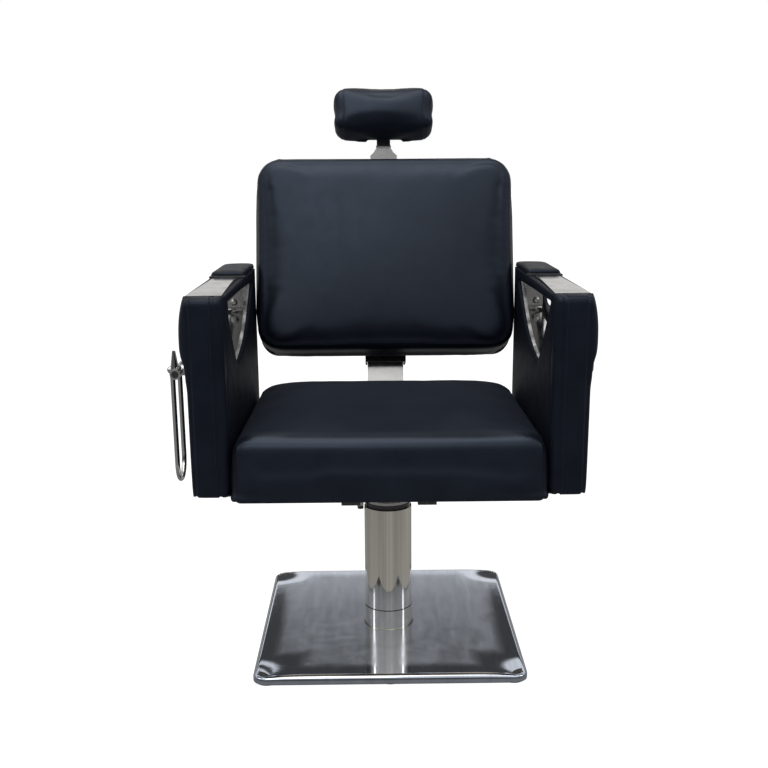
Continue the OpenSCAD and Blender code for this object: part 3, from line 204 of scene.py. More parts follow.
def lay_floor():
    """A wide flat sheet under the chair, pale and glowing, so that it meets the backdrop without a
    line. Polished parts reflect the room instead of it."""
    turns = ((-1, -1), (1, -1), (1, 1), (-1, 1))
    mesh = bpy.data.meshes.new("floor")
    mesh.from_pydata([(x * FLOOR_HALF, y * FLOOR_HALF, 0) for x, y in turns], [], [(0, 1, 2, 3)])
    floor = bpy.data.objects.new("floor", mesh)
    scene.collection.objects.link(floor)
    pale = Finish("pale_floor", (0.2, 0.2, 0.2), roughness=1.0, specular=0.0)
    pale.shader.inputs["Emission Color"].default_value = (1, 1, 1, 1)
    pale.shader.inputs["Emission Strength"].default_value = FLOOR_GLOW
    mesh.materials.append(pale.material)
    floor.visible_glossy = False


# Finishes

class Finish:
    """A node material while it is put together. Its patterns read the piece's own Object
    coordinates."""

    def __init__(self, name, colour, roughness, metallic=0.0, specular=0.5):
        self.material = bpy.data.materials.new(name)
        self.material.use_nodes = True
        self.tree = self.material.node_tree
        self.shader = self.tree.nodes["Principled BSDF"]
        self.shader.inputs["Base Color"].default_value = (*colour, 1)
        self.shader.inputs["Roughness"].default_value = roughness
        self.shader.inputs["Metallic"].default_value = metallic
        self.shader.inputs["Specular IOR Level"].default_value = specular
        self.place = self.tree.nodes.new("ShaderNodeTexCoord").outputs["Object"]
        self.normal = None

    def join(self, start, end):
        self.tree.links.new(start, end)

    def axes(self):
        """The piece's own X, Y and Z."""
        split = self.tree.nodes.new("ShaderNodeSeparateXYZ")
        self.join(self.place, split.inputs[0])
        return list(split.outputs)

    def stretched(self, scale, turn=(0, 0, 0)):
        """Object coordinates turned and scaled, each axis by its own number."""
        mapping = self.tree.nodes.new("ShaderNodeMapping")
        mapping.inputs["Scale"].default_value = scale
        mapping.inputs["Rotation"].default_value = turn
        self.join(self.place, mapping.inputs["Vector"])
        return mapping.outputs["Vector"]

    def noise(self, scale, detail=2.0, roughness=0.5, distortion=0.0, place=None):
        """Clouded noise, so many times to the metre."""
        made = self.tree.nodes.new("ShaderNodeTexNoise")
        made.inputs["Scale"].default_value = scale
        made.inputs["Detail"].default_value = detail
        made.inputs["Roughness"].default_value = roughness
        made.inputs["Distortion"].default_value = distortion
        self.join(place or self.place, made.inputs["Vector"])
        return made.outputs["Fac"]

    def cells(self, scale):
        """Distance to the nearest of many scattered points."""
        made = self.tree.nodes.new("ShaderNodeTexVoronoi")
        made.feature = "SMOOTH_F1"
        made.inputs["Scale"].default_value = scale
        made.inputs["Smoothness"].default_value = 0.4
        self.join(self.place, made.inputs["Vector"])
        return made.outputs["Distance"]

    def between(self, value, low, high, start=0.3, end=0.7):
        """The value's range from start to end, spread from low to high."""
        return spread(self.tree, value, start, end, low, high)

    def sum_of(self, kind, first, second=None):
        """One step of arithmetic on values or plain numbers."""
        made = self.tree.nodes.new("ShaderNodeMath")
        made.operation = kind
        for socket, part in zip(made.inputs, (first, second)):
            if isinstance(part, (int, float)):
                socket.default_value = part
            elif part is not None:
                self.join(part, socket)
        return made.outputs[0]

    def away(self, value, middle):
        """How far a value lies from a middle."""
        return self.sum_of("ABSOLUTE", self.sum_of("SUBTRACT", value, middle))

    def near_border(self, middle, half, border, corner):
        """0 inside a rectangle and 1 towards its border and its corners: the larger of the two
        distances from its middle, each as a share of its half side, spread over the border's range,
        or the smaller one over the corner's range."""
        shares = [self.sum_of("DIVIDE", self.away(value, centre), size)
                  for value, centre, size in zip(self.axes(), middle, half)]
        rim = self.between(self.sum_of("MAXIMUM", *shares), 0, 1, *border)
        corners = self.between(self.sum_of("MINIMUM", *shares), 0, 1, *corner)
        return self.sum_of("MAXIMUM", rim, corners)

    def blend(self, share, first, second):
        """The first value turning into the second one as the share goes from 0 to 1."""
        return mix(self.tree, "FLOAT", share, first, second)

    def colour(self, value, dark, light):
        """Paints the base colour from dark to light by the value."""
        tone = mix(self.tree, "RGBA", value, (*dark, 1), (*light, 1))
        self.join(tone, self.shader.inputs["Base Color"])

    def rough(self, value):
        """Makes the value the roughness."""
        self.join(value, self.shader.inputs["Roughness"])

    def relief(self, value, height, strength=1.0):
        """Raises the surface where the value is high, on top of any relief before it."""
        made = self.tree.nodes.new("ShaderNodeBump")
        made.inputs["Distance"].default_value = height
        made.inputs["Strength"].default_value = strength
        self.join(value, made.inputs["Height"])
        if self.normal:
            self.join(self.normal, made.inputs["Normal"])
        self.normal = made.outputs["Normal"]
        self.join(self.normal, self.shader.inputs["Normal"])


BLUE_SHEEN = (0.62, 0.76, 1.0, 1)

# The seat's wear in metres: from where to where behind its front edge the dull top begins, how far
# below its top the gloss of the front begins and is full, and each crease's root behind the front
# edge and beside the middle, with its half width and its length
WORN_FROM, WORN_TO = 0.022, 0.045
GLOSS_FROM, GLOSS_FULL = 0.050, 0.012
CREASE_X, CREASE_Y, CREASE_HALF, CREASE_LENGTH = 0.13, 0.03, 0.10, 0.13


def vinyl(name="vinyl", roughness=(0.35, 0.42), specular=0.31, mottle=0.05):
    """Blue-black upholstery vinyl: pebbled grain of 1.5 mm cells, faint mottling and an uneven soft
    gloss."""
    made = Finish(name, (0.004, 0.0053, 0.0092), roughness=sum(roughness) / 2, specular=specular)
    made.shader.inputs["Specular Tint"].default_value = BLUE_SHEEN
    clouds = made.between(made.noise(14, detail=5), 0, 1)
    made.colour(clouds, (0.0028, 0.0038, 0.0072), (0.0048, 0.0064, 0.0108))
    made.rough(made.between(made.noise(38, detail=4), *roughness))
    made.relief(made.noise(7), 0.004, mottle)
    made.relief(made.cells(640), 0.0005, 0.20)
    made.relief(made.noise(1900), 0.0002, 0.15)
    return made


def seat_vinyl(front_y, top_z):
    """The seat's vinyl: worn dull on top, where two drawn creases shine a little, and glossy along
    its front edge. A crease fades from 1 at its root by the way aside and the way to the rear, each
    as a share of its size."""
    made = vinyl("seat_vinyl", specular=0.28)
    x, y, z = made.axes()
    on_top = made.between(y, 0, 1, front_y + WORN_FROM, front_y + WORN_TO)
    on_edge = made.between(z, 0, 1, top_z - GLOSS_FROM, top_z - GLOSS_FULL)
    aside = made.sum_of("DIVIDE", made.away(made.sum_of("ABSOLUTE", x), CREASE_X), CREASE_HALF)
    back = made.sum_of("DIVIDE", made.sum_of("SUBTRACT", y, front_y + CREASE_Y), CREASE_LENGTH)
    crease = made.sum_of("SUBTRACT", made.sum_of("SUBTRACT", 1, aside), back)
    top = made.between(crease, 0.92, 0.72, 0, 0.6)
    front = made.blend(on_edge, 0.55, 0.20)
    made.rough(made.blend(on_top, front, top))
    return made.material


def thread():
    """Black bonded sewing thread with a fine twist."""
    made = Finish("thread", (0.010, 0.012, 0.018), roughness=0.7, specular=0.18)
    made.shader.inputs["Specular Tint"].default_value = BLUE_SHEEN
    made.colour(made.noise(400), (0.007, 0.009, 0.014), (0.014, 0.017, 0.025))
    made.rough(made.between(made.noise(700), 0.6, 0.8))
    made.relief(made.noise(2600, place=made.stretched((1, 1, 2))), 0.0001, 0.3)
    return made.material


def polished_sheet():
    """Stainless sheet polished by hand: slanting strokes of tone, swirls of haze that clear to a
    mirror towards its border and corners, fine scratches and a slight waviness."""
    made = Finish("polished_sheet", (0.56, 0.57, 0.60), roughness=0.16, metallic=1.0)
    slant = made.stretched((4, 0.6, 1), (0, 0, 0.6))
    strokes = made.noise(11, detail=8, roughness=0.6, distortion=0.8, place=slant)
    made.colour(made.between(strokes, 0, 1, 0.32, 0.68), (0.37, 0.41, 0.48), (0.46, 0.50, 0.575))
    haze = made.between(made.noise(9, detail=8, roughness=0.65, distortion=2.4), 0.14, 0.21)
    clear = made.near_border(middle=(0, 0.020), half=(0.250, 0.270), border=(0.80, 0.90),
                             corner=(0.58, 0.72))
    made.rough(made.blend(clear, haze, 0.05))
    scratches = made.noise(60, detail=5, distortion=1.2,
                           place=made.stretched((1, 6, 1), (0, 0, 0.35)))
    made.relief(scratches, 0.0003, 0.06)
    made.relief(made.noise(5, detail=1), 0.004, 0.03)
    return made.material


def column_chrome():
    """Warm plated tube drawn along its length: fine upright lines of tone and almost no haze."""
    made = Finish("column_chrome", (0.86, 0.83, 0.75), roughness=0.06, metallic=1.0)
    lines = made.noise(38, detail=4, roughness=0.7, place=made.stretched((1, 1, 0.015)))
    made.colour(made.between(lines, 0, 1, 0.35, 0.65), (0.66, 0.64, 0.58), (0.97, 0.94, 0.87))
    made.rough(made.between(made.noise(26, detail=5), 0.04, 0.09))
    made.relief(made.noise(900, place=made.stretched((1, 1, 0.02))), 0.0001, 0.03)
    return made.material


def chrome(name="chrome", tone=0.72, roughness=0.07):
    """Bright plated steel with faint drawing lines along it and a little haze."""
    made = Finish(name, (tone, tone, tone), roughness=roughness, metallic=1.0)
    made.colour(made.noise(30, detail=3), (tone * 0.92,) * 3, (tone, tone, tone))
    made.rough(made.between(made.noise(26, detail=5), roughness * 0.7, roughness * 1.7))
    made.relief(made.noise(900, place=made.stretched((1, 1, 0.02))), 0.0001, 0.04)
    return made.material


def brushed_steel(name, along, tone):
    """Flat steel with a fine grain in one direction."""
    made = Finish(name, (tone, tone, tone), roughness=0.3, metallic=1.0)
    made.colour(made.noise(12, detail=4), (tone * 0.85,) * 3, (tone * 1.1,) * 3)
    grain = made.noise(1400, place=made.stretched(along))
    made.rough(made.between(grain, 0.22, 0.36))
    made.relief(grain, 0.0001, 0.12)
    return made.material


def zinc():
    """Bright zinc on bolts and pins, slightly clouded."""
    made = Finish("zinc", (0.6, 0.6, 0.61), roughness=0.3, metallic=1.0)
    made.colour(made.noise(120, detail=4), (0.5, 0.5, 0.5), (0.68, 0.68, 0.67))
    made.rough(made.between(made.noise(300, detail=3), 0.22, 0.42))
    made.relief(made.noise(900), 0.0001, 0.1)
    return made.material


def paint(name, tone, roughness):
    """Sprayed paint with a soft orange-peel surface."""
    made = Finish(name, (tone, tone, tone * 1.04), roughness=roughness)
    made.colour(made.noise(20, detail=3), (tone * 0.8,) * 3, (tone * 1.25,) * 3)
    made.rough(made.between(made.noise(70, detail=3), roughness * 0.85, roughness * 1.2))
    made.relief(made.noise(220, detail=1), 0.0003, 0.2)
    return made.material


def moulded_plastic(name, tone, roughness):
    """Moulded plastic with a fine spark-eroded texture."""
    made = Finish(name, tone, roughness=roughness, specular=0.4)
    dark, light = (tuple(share * t for t in tone) for share in (0.85, 1.15))
    made.colour(made.noise(25, detail=3), dark, light)
    made.rough(made.between(made.noise(90, detail=3), roughness * 0.85, roughness * 1.15))
    made.relief(made.noise(1500), 0.0002, 0.25)
    return made.material


def plywood():
    """Birch plywood: grain lines, thin plies on the edges and a dry surface."""
    made = Finish("plywood", (0.45, 0.33, 0.2), roughness=0.75, specular=0.2)
    grain = made.noise(40, detail=6, distortion=0.6, place=made.stretched((1, 12, 12)))
    made.colour(made.between(grain, 0, 1, 0.35, 0.65), (0.36, 0.25, 0.14), (0.56, 0.42, 0.26))
    made.rough(made.between(grain, 0.62, 0.85))
    made.relief(grain, 0.0004, 0.3)
    return made.material


# Meshes

def finish_mesh(mesh, finish):
    """Makes a finish the only one on a mesh."""
    mesh.materials.clear()
    mesh.materials.append(finish)


def shade_smooth(mesh):
    mesh.polygons.foreach_set("use_smooth", np.ones(len(mesh.polygons), bool))


def link_piece(name, mesh, finish):
    """Puts a mesh into the scene as a smooth piece with one finish."""
    piece = bpy.data.objects.new(name, mesh)
    scene.collection.objects.link(piece)
    finish_mesh(mesh, finish)
    shade_smooth(mesh)
    return piece


def places(mesh):
    """Every vertex of a mesh as one array."""
    co = np.empty(3 * len(mesh.vertices), np.float32)
    mesh.vertices.foreach_get("co", co)
    return co.reshape(-1, 3).astype(float)


def set_places(mesh, co):
    mesh.vertices.foreach_set("co", np.ascontiguousarray(co, np.float32).ravel())
    mesh.update()


def vertex_normals(mesh):
    out = np.empty(3 * len(mesh.vertices), np.float32)
    mesh.vertex_normals.foreach_get("vector", out)
    return out.reshape(-1, 3).astype(float)


def edge_ends(mesh):
    """The two vertices of every edge."""
    ends = np.empty(2 * len(mesh.edges), np.int32)
    mesh.edges.foreach_get("vertices", ends)
    return ends.reshape(-1, 2)


def tidy_mesh(mesh):
    """Merges a closed skin's doubled points and turns its faces outwards."""
    work = bmesh.new()
    work.from_mesh(mesh)
    bmesh.ops.remove_doubles(work, verts=work.verts, dist=1e-5)
    bmesh.ops.recalc_face_normals(work, faces=work.faces)
    work.to_mesh(mesh)
    work.free()
    mesh.update()


def grid_mesh(name, points, ends_meet=False):
    """Quads over a grid of points, rows by columns, whose ends meet both ways or not at all."""
    rows, columns = points.shape[:2]
    r, c = np.meshgrid(np.arange(rows - (not ends_meet)), np.arange(columns - (not ends_meet)),
                       indexing="ij")
    up, on = (r + 1) % rows, (c + 1) % columns
    quads = np.stack([r * columns + c, r * columns + on, up * columns + on, up * columns + c], -1)
    mesh = bpy.data.meshes.new(name)
    mesh.from_pydata(points.reshape(-1, 3).tolist(), [], quads.reshape(-1, 4).tolist())
    return mesh


def thicken(piece, thickness, offset):
    """Gives a sheet its thickness: about its middle with an offset of 0, under its face with -1."""
    wall = piece.modifiers.new("wall", "SOLIDIFY")
    wall.thickness = thickness
    wall.offset = offset
    return piece


def settle(piece):
    """Applies what the piece's modifiers make of its mesh."""
    graph = bpy.context.evaluated_depsgraph_get()
    mesh = bpy.data.meshes.new_from_object(piece.evaluated_get(graph))
    piece.modifiers.clear()
    piece.data = mesh
    shade_smooth(mesh)


def fit(piece, body, slot, *replaced, fill=None):
    """Puts a piece on its body and hides the nodes that it stands for. Its slot and its fill are
    not used."""
    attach(piece, body)
    if replaced:
        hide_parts(*replaced)
    return piece


# Upholstery

# The cloth's frames and pressure, and the power that keeps a pad's bow to its border
SETTLE_FRAMES = 20
PRESSURE = 4
BORDER_POWER = 8


def smoothed(co, ends, rounds):
    """Moves each point half of the way to the middle of its neighbours, for some rounds."""
    count = np.maximum(np.bincount(ends.ravel(), minlength=len(co)), 1)[:, None]
    for _ in range(rounds):
        middle = np.stack([
            np.bincount(ends[:, 0], co[ends[:, 1], k], len(co))
            + np.bincount(ends[:, 1], co[ends[:, 0], k], len(co)) for k in range(3)], 1) / count
        co = co + 0.5 * (middle - co)
    return co


def box_of(co):
    return co.min(0), co.max(0)


class Pad:
    """A stuffed piece while it is made: an even skin over its solid, a little smaller, that
    pressure then fills. The held points stay, and no other one moves further than the cap. In its
    own frame it is then stretched to its solid's box, grown by lower and upper, and its sides bow
    out along the two axes that its face spans: by bow in their middle, and inwards by corner times
    bow at their ends."""

    def __init__(self, node, voxel, shrink, cap, held, rounds, frame=None, face=(0, 2), bow=0,
                 corner=0, lower=(0, 0, 0), upper=(0, 0, 0), finish=None):
        self.node = node
        self.corner = corner
        self.cap = cap
        self.frame = frame or (lambda co: co)
        self.face = face
        self.bow = bow
        mesh = nodes[node].data.copy()
        tidy_mesh(mesh)
        low, high = box_of(self.frame(places(mesh)))
        self.solid_box = low - lower, high + upper
        finish = finish or VINYL
        self.piece = link_piece(node + "_cover", mesh, finish)
        remesh = self.piece.modifiers.new("even", "REMESH")
        remesh.mode = "VOXEL"
        remesh.voxel_size = voxel
        settle(self.piece)
        mesh = self.piece.data
        finish_mesh(mesh, finish)
        co = places(mesh)
        self.held = held(co)
        loose = ~self.held[:, None]
        co = np.where(loose, smoothed(co, edge_ends(mesh), rounds), co)
        set_places(mesh, co)
        co = co - np.where(loose, shrink * vertex_normals(mesh), 0)
        set_places(mesh, co)
        self.start = co
        self.shrink = shrink

    def add_cloth(self):
        """Cloth with no weight, filled from inside; held points stay."""
        group = self.piece.vertex_groups.new(name="held")
        group.add(np.nonzero(self.held)[0].tolist(), 1.0, "REPLACE")
        cloth = self.piece.modifiers.new("cloth", "CLOTH")
        cloth.point_cache.frame_start = 1
        cloth.point_cache.frame_end = SETTLE_FRAMES
        settings = cloth.settings
        settings.quality = 5
        settings.mass = 0.3
        settings.tension_stiffness = 20
        settings.compression_stiffness = 20
        settings.shear_stiffness = 8
        settings.bending_stiffness = 2
        settings.vertex_group_mass = "held"
        settings.use_pressure = True
        settings.uniform_pressure_force = PRESSURE
        settings.effector_weights.gravity = 0
        cloth.collision_settings.use_collision = False

    def take_shape(self, simulated):
        """Keeps the filled shape, with no point further than the cap from where it began, and
        halves its quads."""
        if simulated:
            graph = bpy.context.evaluated_depsgraph_get()
            mesh = self.piece.evaluated_get(graph).to_mesh()
            moved = places(mesh) - self.start
            self.piece.modifiers.clear()
        else:
            normals = vertex_normals(self.piece.data)
            moved = np.where(~self.held[:, None], self.shrink * normals, 0)
        length = np.linalg.norm(moved, axis=1, keepdims=True)
        moved = moved * np.minimum(1, self.cap / np.maximum(length, 1e-9))
        mesh = self.piece.data
        co = self.start + moved
        co = np.where(~self.held[:, None], smoothed(co, edge_ends(mesh), 3), co)
        set_places(mesh, co)
        self.piece.vertex_groups.clear()
        finer = self.piece.modifiers.new("finer", "SUBSURF")
        finer.levels = finer.render_levels = 1
        settle(self.piece)
        self.stretch_to_solid()

    def stretch_to_solid(self):
        """Stretches the pad along its own axes until it is as long, wide and deep as its solid's
        box, and bows its sides."""
        co = places(self.piece.data)
        own = self.frame(co)
        low, high = box_of(own)
        want_low, want_high = self.solid_box
        turn = self.frame(np.eye(3)) - self.frame(np.zeros((1, 3)))
        share = (own - low) / (high - low)
        moved = share * (want_high - want_low) + want_low - own
        away = 2 * share - 1
        for axis, across in (self.face, self.face[::-1]):
            side = np.sign(away[:, axis]) * away[:, axis] ** BORDER_POWER
            end = away[:, across]
            moved[:, axis] += self.bow * side * (1 - end ** 2 - self.corner * end ** BORDER_POWER)
        set_places(self.piece.data, co + moved @ turn.T)


def fill_pads(pads):
    """Steps the cloth of every pad together, then lets each keep its shape."""
    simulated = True
    if simulated:
        for pad in pads:
            pad.add_cloth()
        for step in range(1, SETTLE_FRAMES + 1):
            scene.frame_set(step)
    for pad in pads:
        pad.take_shape(simulated)
    scene.frame_set(1)


VINYL = vinyl().material
ARM_VINYL = vinyl("arm_vinyl", (0.36, 0.44), 0.18, 0.04).material
QUIET_VINYL = vinyl("quiet_vinyl", (0.52, 0.60), 0.12, 0.03).material
THREAD = thread()


def below(level):
    """Points under a height are held."""
    return lambda co: co[:, 2] < level


def to_back(co):
    """World points in the back's frame: X across, Y to the rear and Z up along the back, from the
    hinge."""
    y, z = co[:, 1] - HINGE[1], co[:, 2] - HINGE[2]
    cos, sin = math.cos(BACK_TILT), math.sin(BACK_TILT)
    return np.stack([co[:, 0], y * cos - z * sin, y * sin + z * cos], 1)


# Seams and stitches: the groove's depths, the headrest's being the lesser, and the width of its
# bell curve; the stitches' spacing, size and distance from it
GROOVE_DEPTH, REST_GROOVE, GROOVE_WIDTH = 0.0020, 0.0008, 0.0030
STITCH_PITCH, STITCH_LENGTH, STITCH_R, STITCH_BESIDE = 0.0055, 0.0042, 0.0005, 0.0045


def press_groove(piece, normal, offset, depth, frame=None):
    """Sinks the skin along a seam's plane: depth times a bell curve of each point's distance from
    the plane."""
    mesh = piece.data
    co = places(mesh)
    distance = (frame(co) if frame else co) @ np.array(normal) - offset
    sunk = depth * np.exp(-(distance / GROOVE_WIDTH) ** 2)
    set_places(mesh, co - sunk[:, None] * vertex_normals(mesh))


def section(piece, normal, offset, frame=None):
    """Where a plane cuts the skin: the crossing of every edge that spans it, in order of angle
    about their middle, as points and outward normals."""
    mesh = piece.data
    co, normals, ends = places(mesh), vertex_normals(mesh), edge_ends(mesh)
    own = frame(co) if frame else co
    height = own @ np.array(normal) - offset
    ends = ends[height[ends[:, 0]] * height[ends[:, 1]] < 0]
    a, b = height[ends[:, 0]], height[ends[:, 1]]
    share = (a / (a - b))[:, None]

    def cut(values):
        return values[ends[:, 0]] * (1 - share) + values[ends[:, 1]] * share

    flat = np.delete(cut(own), np.argmax(np.abs(normal)), 1)
    flat = flat - (flat.min(0) + flat.max(0)) / 2
    order = np.argsort(np.arctan2(flat[:, 1], flat[:, 0]))
    return cut(co)[order], cut(normals)[order]


def even_steps(points, normals, pitch):
    """Points at even steps along a closed line, with the direction and the normal at each."""
    closed = np.concatenate([points, points[:1]])
    length = np.concatenate([[0], np.cumsum(np.linalg.norm(np.diff(closed, axis=0), axis=1))])
    count = int(length[-1] / pitch)
    at = np.arange(count) * length[-1] / count
    facing = np.concatenate([normals, normals[:1]])
    where, out = (np.stack([np.interp(at, length, line[:, k]) for k in range(3)], 1)
                  for line in (closed, facing))
    along = np.roll(where, -2, 0) - np.roll(where, 2, 0)
    along = along / np.linalg.norm(along, axis=1, keepdims=True)
    out = out - (out * along).sum(1, keepdims=True) * along
    return where, along, out / np.linalg.norm(out, axis=1, keepdims=True)


def thread_form(length, radius, sides=6):
    """One stitch on its own axes: a short six-sided thread, thickest in the middle, whose ends dive
    into the skin."""
    turn = np.arange(sides) * 2 * math.pi / sides
    ring = np.stack([0 * turn, radius * np.cos(turn), radius * np.sin(turn)], 1)
    rings = [ring + (s * length / 4, 0, radius * 0.5) for s in (-1, 1)]
    form = np.concatenate([[(-length / 2, 0, -radius)], *rings, [(length / 2, 0, -radius)]])
    n = np.arange(sides)
    after = (n + 1) % sides
    faces = [(0, 1 + j, 1 + i) for i, j in zip(n, after)]
    faces += [(1 + i, 1 + j, 1 + sides + j, 1 + sides + i) for i, j in zip(n, after)]
    faces += [(1 + sides + i, 1 + sides + j, 1 + 2 * sides) for i, j in zip(n, after)]
    return form, faces


def stitch_rows(name, rows):
    """Stitches along several rows of points, directions and normals, all in one mesh."""
    where, along, out = (np.concatenate(part) for part in zip(*rows))
    side = np.cross(out, along)
    form, faces = thread_form(STITCH_LENGTH, STITCH_R)
    points = (where[:, None] + form[None, :, 0:1] * along[:, None]
              + form[None, :, 1:2] * side[:, None] + form[None, :, 2:3] * out[:, None])
    shift = np.arange(len(where)) * len(form)
    three, four = (
        (np.array([f for f in faces if len(f) == n])[None] + shift[:, None, None]).reshape(-1, n)
        for n in (3, 4))
    mesh = bpy.data.meshes.new(name)
    mesh.from_pydata(points.reshape(-1, 3).tolist(), [], three.tolist() + four.tolist())
    return link_piece(name, mesh, THREAD)


def sew(name, pad, body, seams, visible=None, frame=None, depth=GROOVE_DEPTH):
    """Presses each seam's groove into a pad and sews one row of stitches beside it, where the seam
    shows. A seam is a plane's normal and offset, and the side of it that the stitches lie on."""
    rows = []
    for normal, offset, _ in seams:
        press_groove(pad, normal, offset, depth, frame)
    for normal, offset, side in seams:
        row = even_steps(*section(pad, normal, offset + side * STITCH_BESIDE, frame), STITCH_PITCH)
        shown = visible(row[0]) if visible else slice(None)
        rows.append([part[shown] for part in row])
    return fit(stitch_rows(name, rows), body, "upholstery")


# The corners of the arms' openings, as shares of the arms' length and height, and how far each is
# cut off, as a share of the height
ARM_LEAF_SHARES = ((0.086, 0.952), (0.880, 0.932), (0.594, 0.634), (0.335, 0.578))
ARM_LEAF_CUTS = (0.03, 0.05, 0.26, 0.05)
OUTER_LEAF_SHARES = ((0.086, 0.952), (0.957, 0.952), (0.957, 0.790), (0.594, 0.634), (0.335, 0.578))
OUTER_LEAF_CUTS = (0.03, 0.03, 0.10, 0.26, 0.05)
LEAF_STEPS = 10

# Sizes of the arms
pad_low, pad_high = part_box("arm_front_pad_right")
inner_low, inner_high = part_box("arm_inner_right")
ARM_FRONT, ARM_REAR = pad_low.y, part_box("arm_rear_panels")[1].y
ARM_FLOOR, ARM_TOP = pad_low.z, pad_high.z
ARM_LEN, ARM_H = ARM_REAR - ARM_FRONT, ARM_TOP - ARM_FLOOR
ARM_X, ARM_OUT = inner_low.x, pad_high.x
PANEL_T = inner_high.x - inner_low.x
frame_y0, frame_y1, frame_top = inner_low.y, inner_high.y, inner_high.z
REAR_R = 0.030

# The arms' swell: how far, where it begins and is widest, how it falls off above, over what length
# it ends before the rear corner, how far it is less at the very front, and over what share of the
# way from the opening it rises. The bolt's place, with the flat round it and the slope beyond.
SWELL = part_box("arm_outer_right")[1].x - ARM_OUT
SWELL_LOW, SWELL_PEAK = ARM_FLOOR + 0.51 * ARM_H, ARM_FLOOR + 0.76 * ARM_H
SWELL_FALL = 2.6
SWELL_END = 0.02
SWELL_FRONT = 0.2
SWELL_WAY = 0.5
BOLT_Y, BOLT_Z, BOLT_R, BOLT_DENT = -0.2533, 0.587, 0.013, 0.020

# How far the arms' covers hang below their solids. The seat's crown: how high, how far behind the
# front edge it begins, and over what lengths it rises from there and from the sides.
ARM_DROP = 0.006
SEAT_CROWN, CROWN_START, CROWN_RISE, CROWN_SIDE = 0.014, 0.03, 0.20, 0.14

# Where the pads are held: behind a plane in the back's frame, and behind or before one in the arms
BACK_HELD, REST_HELD = -0.074, -0.058
FRONT_PAD_HELD, REAR_PANEL_HELD = -0.268, 0.240

seat_low, seat_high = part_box("seat_cushion")
seat_pad = Pad("seat_cushion", 0.006, 0.002, 0.003, below(seat_low.z + 0.012), 18, face=(0, 1),
               bow=0.003, lower=(0.003, 0, 0), upper=(0.003, 0, 0),
               finish=seat_vinyl(seat_low.y, seat_high.z))
back_pad = Pad("back_cushion", 0.006, 0.002, 0.003, lambda co: to_back(co)[:, 1] > BACK_HELD, 12,
               frame=to_back, bow=0.005, corner=1.8)
rest_pad = Pad("headrest_pad", 0.004, 0.0015, 0.002, lambda co: to_back(co)[:, 1] > REST_HELD, 3,
               frame=to_back, bow=0.008, upper=(0, 0, 0.001))
arm_pads = [
    Pad(f"arm_front_pad_{label}", 0.004, 0.001, 0.0015, lambda co: co[:, 1] > FRONT_PAD_HELD, 14,
        lower=(0, 0, ARM_DROP), finish=ARM_VINYL)
    for label, _ in SIDES]
rear_pads = Pad("arm_rear_pads", 0.004, 0.001, 0.0015,
                below(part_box("arm_rear_pads")[0].z + 0.003), 3, finish=ARM_VINYL)
rear_panels = Pad("arm_rear_panels", 0.004, 0.001, 0.0015, lambda co: co[:, 1] < REAR_PANEL_HELD, 3,
                  lower=(0, 0, ARM_DROP), finish=ARM_VINYL)
fill_pads([seat_pad, back_pad, rest_pad, *arm_pads, rear_pads, rear_panels])


def crown_seat(piece):
    """Raises the seat by its crown times the share of its height, the square of a sine of the way
    from its front edge, and a sine of the way from its sides."""
    co = places(piece.data)
    top_share = np.clip((co[:, 2] - seat_low.z) / (seat_high.z - seat_low.z), 0, 1)
    from_front = np.clip((co[:, 1] - seat_low.y - CROWN_START) / CROWN_RISE, 0, 1)
    from_side = np.clip((seat_high.x - np.abs(co[:, 0])) / CROWN_SIDE, 0, 1)
    co[:, 2] += (SEAT_CROWN * top_share * np.sin(math.pi / 2 * from_front) ** 2
                 * np.sin(math.pi / 2 * from_side))
    set_places(piece.data, co)


crown_seat(seat_pad.piece)
fit(seat_pad.piece, "seat", "upholstery", "seat_cushion", fill=0.8)
fit(back_pad.piece, "back", "upholstery", "back_cushion", fill=0.8)
fit(rest_pad.piece, "rest_tilt", "upholstery", "headrest_pad", fill=0.85)
for pad in arm_pads:
    fit(pad.piece, "seat", "upholstery", pad.node, fill=0.9)
fit(rear_pads.piece, "seat", "upholstery", "arm_rear_pads", fill=0.8)
fit(rear_panels.piece, "seat", "upholstery", "arm_rear_panels", fill=0.9)


def arm_swell(y, z):
    """How far the arm's outer side stands out at a height: up to its peak a sine squared, above it
    one minus a power of the height. It dies away round the bolt near the arm's front."""
    rise = np.clip((z - SWELL_LOW) / (SWELL_PEAK - SWELL_LOW), 0, 1)
    fall = np.clip((z - SWELL_PEAK) / (frame_top - SWELL_PEAK), 0, 1)
    off = np.clip((np.hypot(y - BOLT_Y, z - BOLT_Z) - BOLT_R) / BOLT_DENT, 0, 1)
    height = SWELL * np.sin(math.pi / 2 * rise) ** 2 * (1 - fall ** SWELL_FALL)
    return height * off * off * (3 - 2 * off)


def swell_front_pad(piece):
    """Swells a front pad like the arm behind it: not at its inner side, by the fourth power of the
    way across, and a little less at the very front."""
    co = places(piece.data)
    across = (np.abs(co[:, 0]) - ARM_X) / (ARM_OUT - ARM_X)
    depth = np.clip((co[:, 1] - ARM_FRONT) / (frame_y0 - ARM_FRONT), 0, 1)
    co[:, 0] += (np.sign(co[:, 0]) * arm_swell(co[:, 1], co[:, 2]) * np.clip(across, 0, 1) ** 4
                 * (1 - SWELL_FRONT + SWELL_FRONT * depth))
    set_places(piece.data, co)


for pad in arm_pads:
    swell_front_pad(pad.piece)

# Seams: across the seat and the headrest near their ends, round the back's border, and down each
# arm's front. Their places, and the lines past which they don't show
ACROSS = (1, 0, 0)
SEAT_SEAM_IN, REST_SEAM_IN, BACK_SEAM, ARM_SEAMS = 0.008, 0.012, -0.148, (0.2875, 0.3290)
SEAT_HIDDEN, REST_HIDDEN, ARM_HIDDEN = 0.020, -0.066, -0.270

